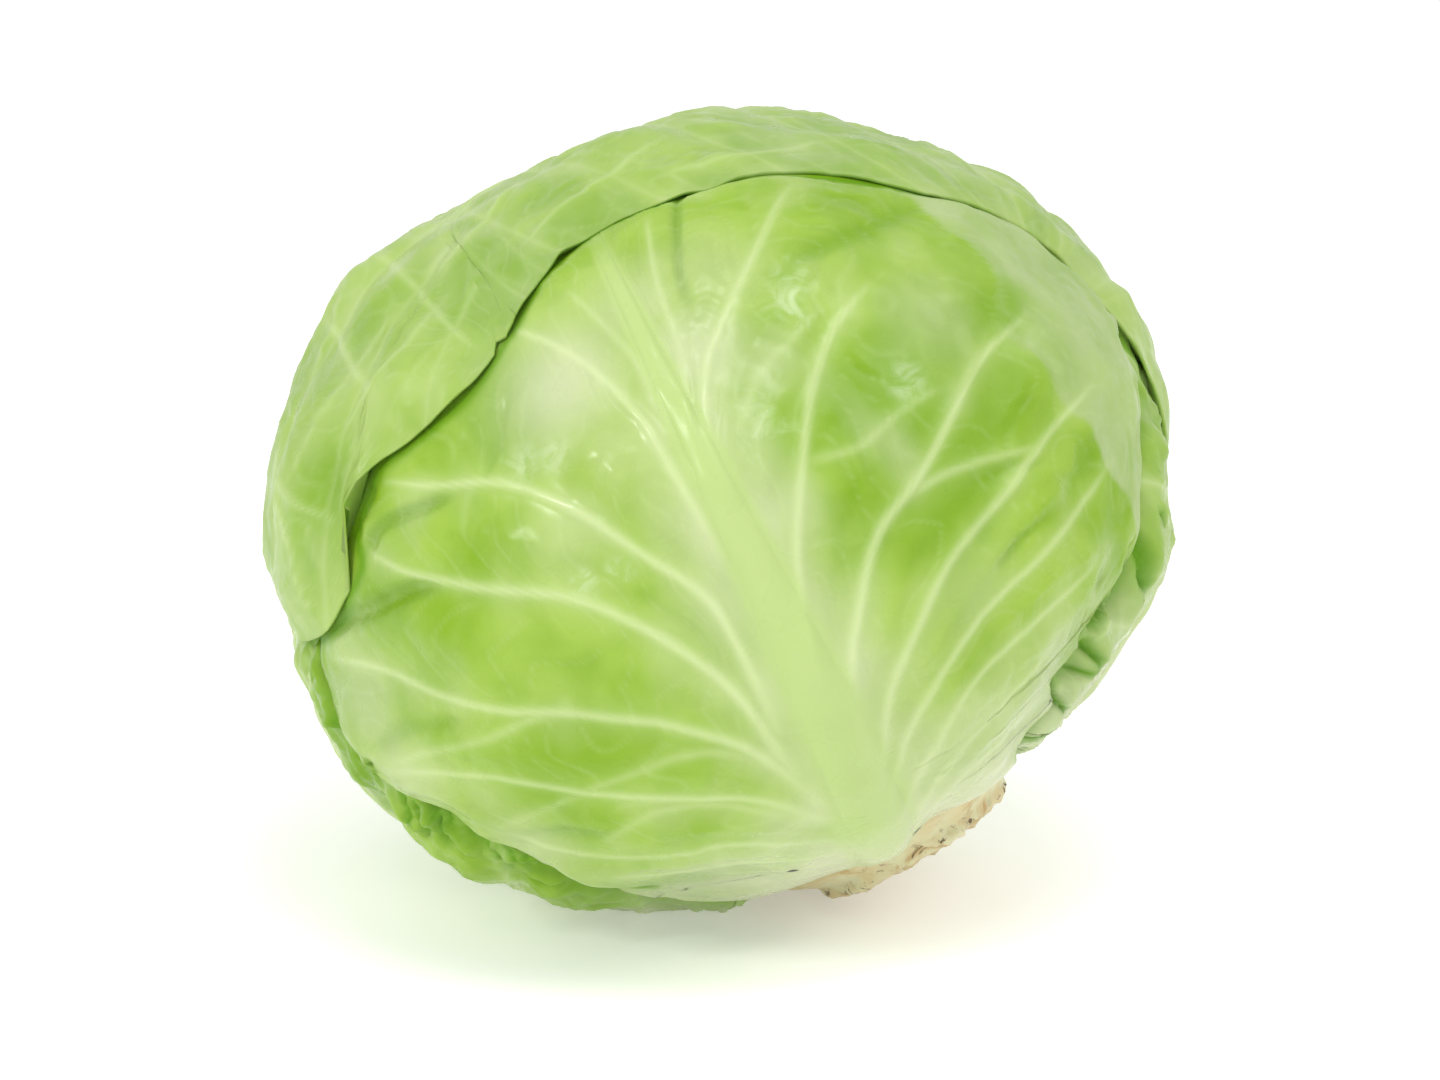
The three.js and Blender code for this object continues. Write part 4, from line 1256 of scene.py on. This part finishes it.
UNDER_ALL = -1
HEART_SIDES = 120
HEART_RINGS = 78
HEART_SPAN_DEG = (21, 177)
HEART_SLACK = 0.6


def make_inner_head(material):
    turns = np.linspace(0, 2 * np.pi, HEART_SIDES, endpoint=False)
    angles = np.radians(np.linspace(*HEART_SPAN_DEG, HEART_RINGS))
    d = np.cos(angles)[:, None, None] * STEM_AXIS + np.sin(angles)[:, None, None] * around_stem(turns)[None]
    surface, above, _, front, _ = stack_fields(UNDER_ALL, d)
    fold = 0.5 * Ripple(34, seed=3)(d * MEAN_RADIUS) - 0.3
    reach = surface + fold + crush(d * MEAN_RADIUS, front)[0]
    reach = over_floor(reach, d, above) - HEART_SLACK - SLACK
    rings = HEAD_CENTRE + d * reach[..., None]
    seat = HEAD_CENTRE + STEM_AXIS * (STEM_ROOT_REACH - HEART_SLACK)
    crown = HEAD_CENTRE - STEM_AXIS * reach[-1].mean()
    mesh = ringed_mesh("tight_heart", seat, rings, crown)
    place_piece("tight_heart", mesh, "inner_head", material)


# The stump from the middle of its cut face: mm in front of that face, radius in mm.
STEM_SIDES = 160
STEM_FLOOR_GAP = 0.02
FACE_RISE = 0.4
STEM_PROFILE = [
    (0.45, 3), (0.4, 7), (0.3, 11), (0.2, 14.5), (0.05, 17.4), (-0.25, 19.2), (-0.8, 20.2), (-1.5, 20.6),
    (-2.4, 20.7), (-3.2, 21.0), (-3.9, 21.7), (-4.6, 22.8), (-5.3, 24.2), (-6.0, 25.6), (-7.0, 27.0),
    (-9.0, 28.0), (-13.0, 27.5), (-18.0, 24.0), (-22.0, 19.0), (-24.6, 13.0),
]


def make_stem(material):
    turns = np.linspace(0, 2 * np.pi, STEM_SIDES, endpoint=False)
    ring = around_stem(turns)
    lumps, grain = Ripple(11, seed=21), Ripple(3.2, seed=22)
    specks = [(x, y, STEM_SPECK_DEG, 1) for x, y in SPECK_PLACES]
    rings, cut, bruise, speck = [], [], [], []
    for rise, radius in STEM_PROFILE:
        points = HEAD_CENTRE + STEM_AXIS * (STEM_FACE_REACH + rise) + ring * radius
        rough, fine = lumps(points), grain(points)
        edge = ridge(rise + 0.8, 2.2)
        swell = (0.35 * rough + 0.1 * fine) * (0.35 + edge)
        notch = 1.3 * edge * smooth((lumps(points * 1.3 + 40) - 0.9) / 0.5)
        scale = (radius + swell - notch) / radius
        reach = STEM_FACE_REACH + rise + 0.25 * fine * (radius < 20)
        rings.append(HEAD_CENTRE + STEM_AXIS * reach[:, None] + ring * (radius * scale)[:, None])
        cut.append(np.full(STEM_SIDES, smooth(rise + 1.0)))
        bruise.append(np.clip(edge + 0.3 * rough, 0, 1))
        speck.append(spots(LEAVES[FRONT], unit(points - HEAD_CENTRE), specks))
    rings = np.array(rings)
    rings[..., 2] = np.maximum(rings[..., 2], STEM_FLOOR_GAP)
    face = HEAD_CENTRE + STEM_AXIS * (STEM_FACE_REACH + FACE_RISE)
    root = HEAD_CENTRE + STEM_AXIS * STEM_ROOT_REACH
    mesh = ringed_mesh("stump", face, rings, root)
    for key, field, at_face in (("cut", cut, 1.0), ("bruise", bruise, 0.0), ("speck", speck, 0.0)):
        set_mask(mesh, key, [[at_face, 0.0], np.array(field).ravel()])
    place_piece("stump", mesh, "stem", material)


# ---- floor, camera and lights
CAMERA_LENS = 100.0
CAMERA_OFFSET = np.array([0.74, -758.6, 169.5])
FLOOR_REACH_M = 4.0
WHITE = (1, 1, 1, 1)
FLOOR_WHITES = (0.92, 0.92, 0.92, 1), (0.935, 0.935, 0.93, 1)
AMBIENT = 0.85
# Lamps: degrees round from the front, degrees up, distance in m, size in m, power in W.
LAMPS = {
    "overhead_box": (20, 66, 1.3, (0.5, 0.4), 4.5),
    "left_box": (-50, 28, 1.2, (0.18, 0.26), 3.6),
    "right_box": (60, 45, 1.2, (0.4, 0.5), 1.5),
}


def make_floor():
    mesh = bpy.data.meshes.new("floor")
    corners = [(x * FLOOR_REACH_M, y * FLOOR_REACH_M, 0) for x, y in ((-1, -1), (1, -1), (1, 1), (-1, 1))]
    mesh.from_pydata(corners, [], [(0, 1, 2, 3)])
    floor = add_object("floor", mesh)
    f = Finish("pale_floor", Specular_IOR_Level=0.1, Emission_Strength=0.24, Emission_Color=WHITE)
    shade = f.tint(f.span(f.noise(400, 2), 0.3, 0.7), *FLOOR_WHITES)
    mesh.materials.append(f.finish(shade, 0.9, f.bump(f.noise(30, 2), 0.01)))


def make_camera():
    data = bpy.data.cameras.new("camera")
    data.lens = CAMERA_LENS
    camera = add_object("camera", data)
    camera.location = (HEAD_CENTRE + CAMERA_OFFSET) * MM
    camera.rotation_euler = (math.pi / 2 - VIEW_RISE, 0, 0)
    bpy.context.scene.camera = camera


def soft_box(name, azimuth, elevation, distance, size, power):
    """A square lamp that looks at the head's centre; azimuth runs from the front towards +X."""
    az, el = math.radians(azimuth), math.radians(elevation)
    away = np.array([math.sin(az) * math.cos(el), -math.cos(az) * math.cos(el), math.sin(el)])
    data = bpy.data.lights.new(name, "AREA")
    data.shape = "RECTANGLE"
    data.size, data.size_y = size
    data.energy = power
    lamp = add_object(name, data)
    lamp.location = HEAD_CENTRE * MM + away * distance
    lamp.rotation_euler = (math.pi / 2 - el, 0, az)


def make_lights():
    world = bpy.data.worlds.new("studio")
    world.use_nodes = True
    background = world.node_tree.nodes["Background"]
    background.inputs["Color"].default_value = WHITE
    background.inputs["Strength"].default_value = AMBIENT
    bpy.context.scene.world = world
    for name, lamp in LAMPS.items():
        soft_box(name, *lamp)
    bpy.context.scene.view_settings.view_transform = "Standard"


make_camera()
make_floor()
make_lights()
leaf_material = leaf_finish()
for leaf_level in range(len(LEAVES)):
    make_leaf(leaf_level, leaf_material)
make_inner_head(inner_finish())
make_stem(stem_finish())
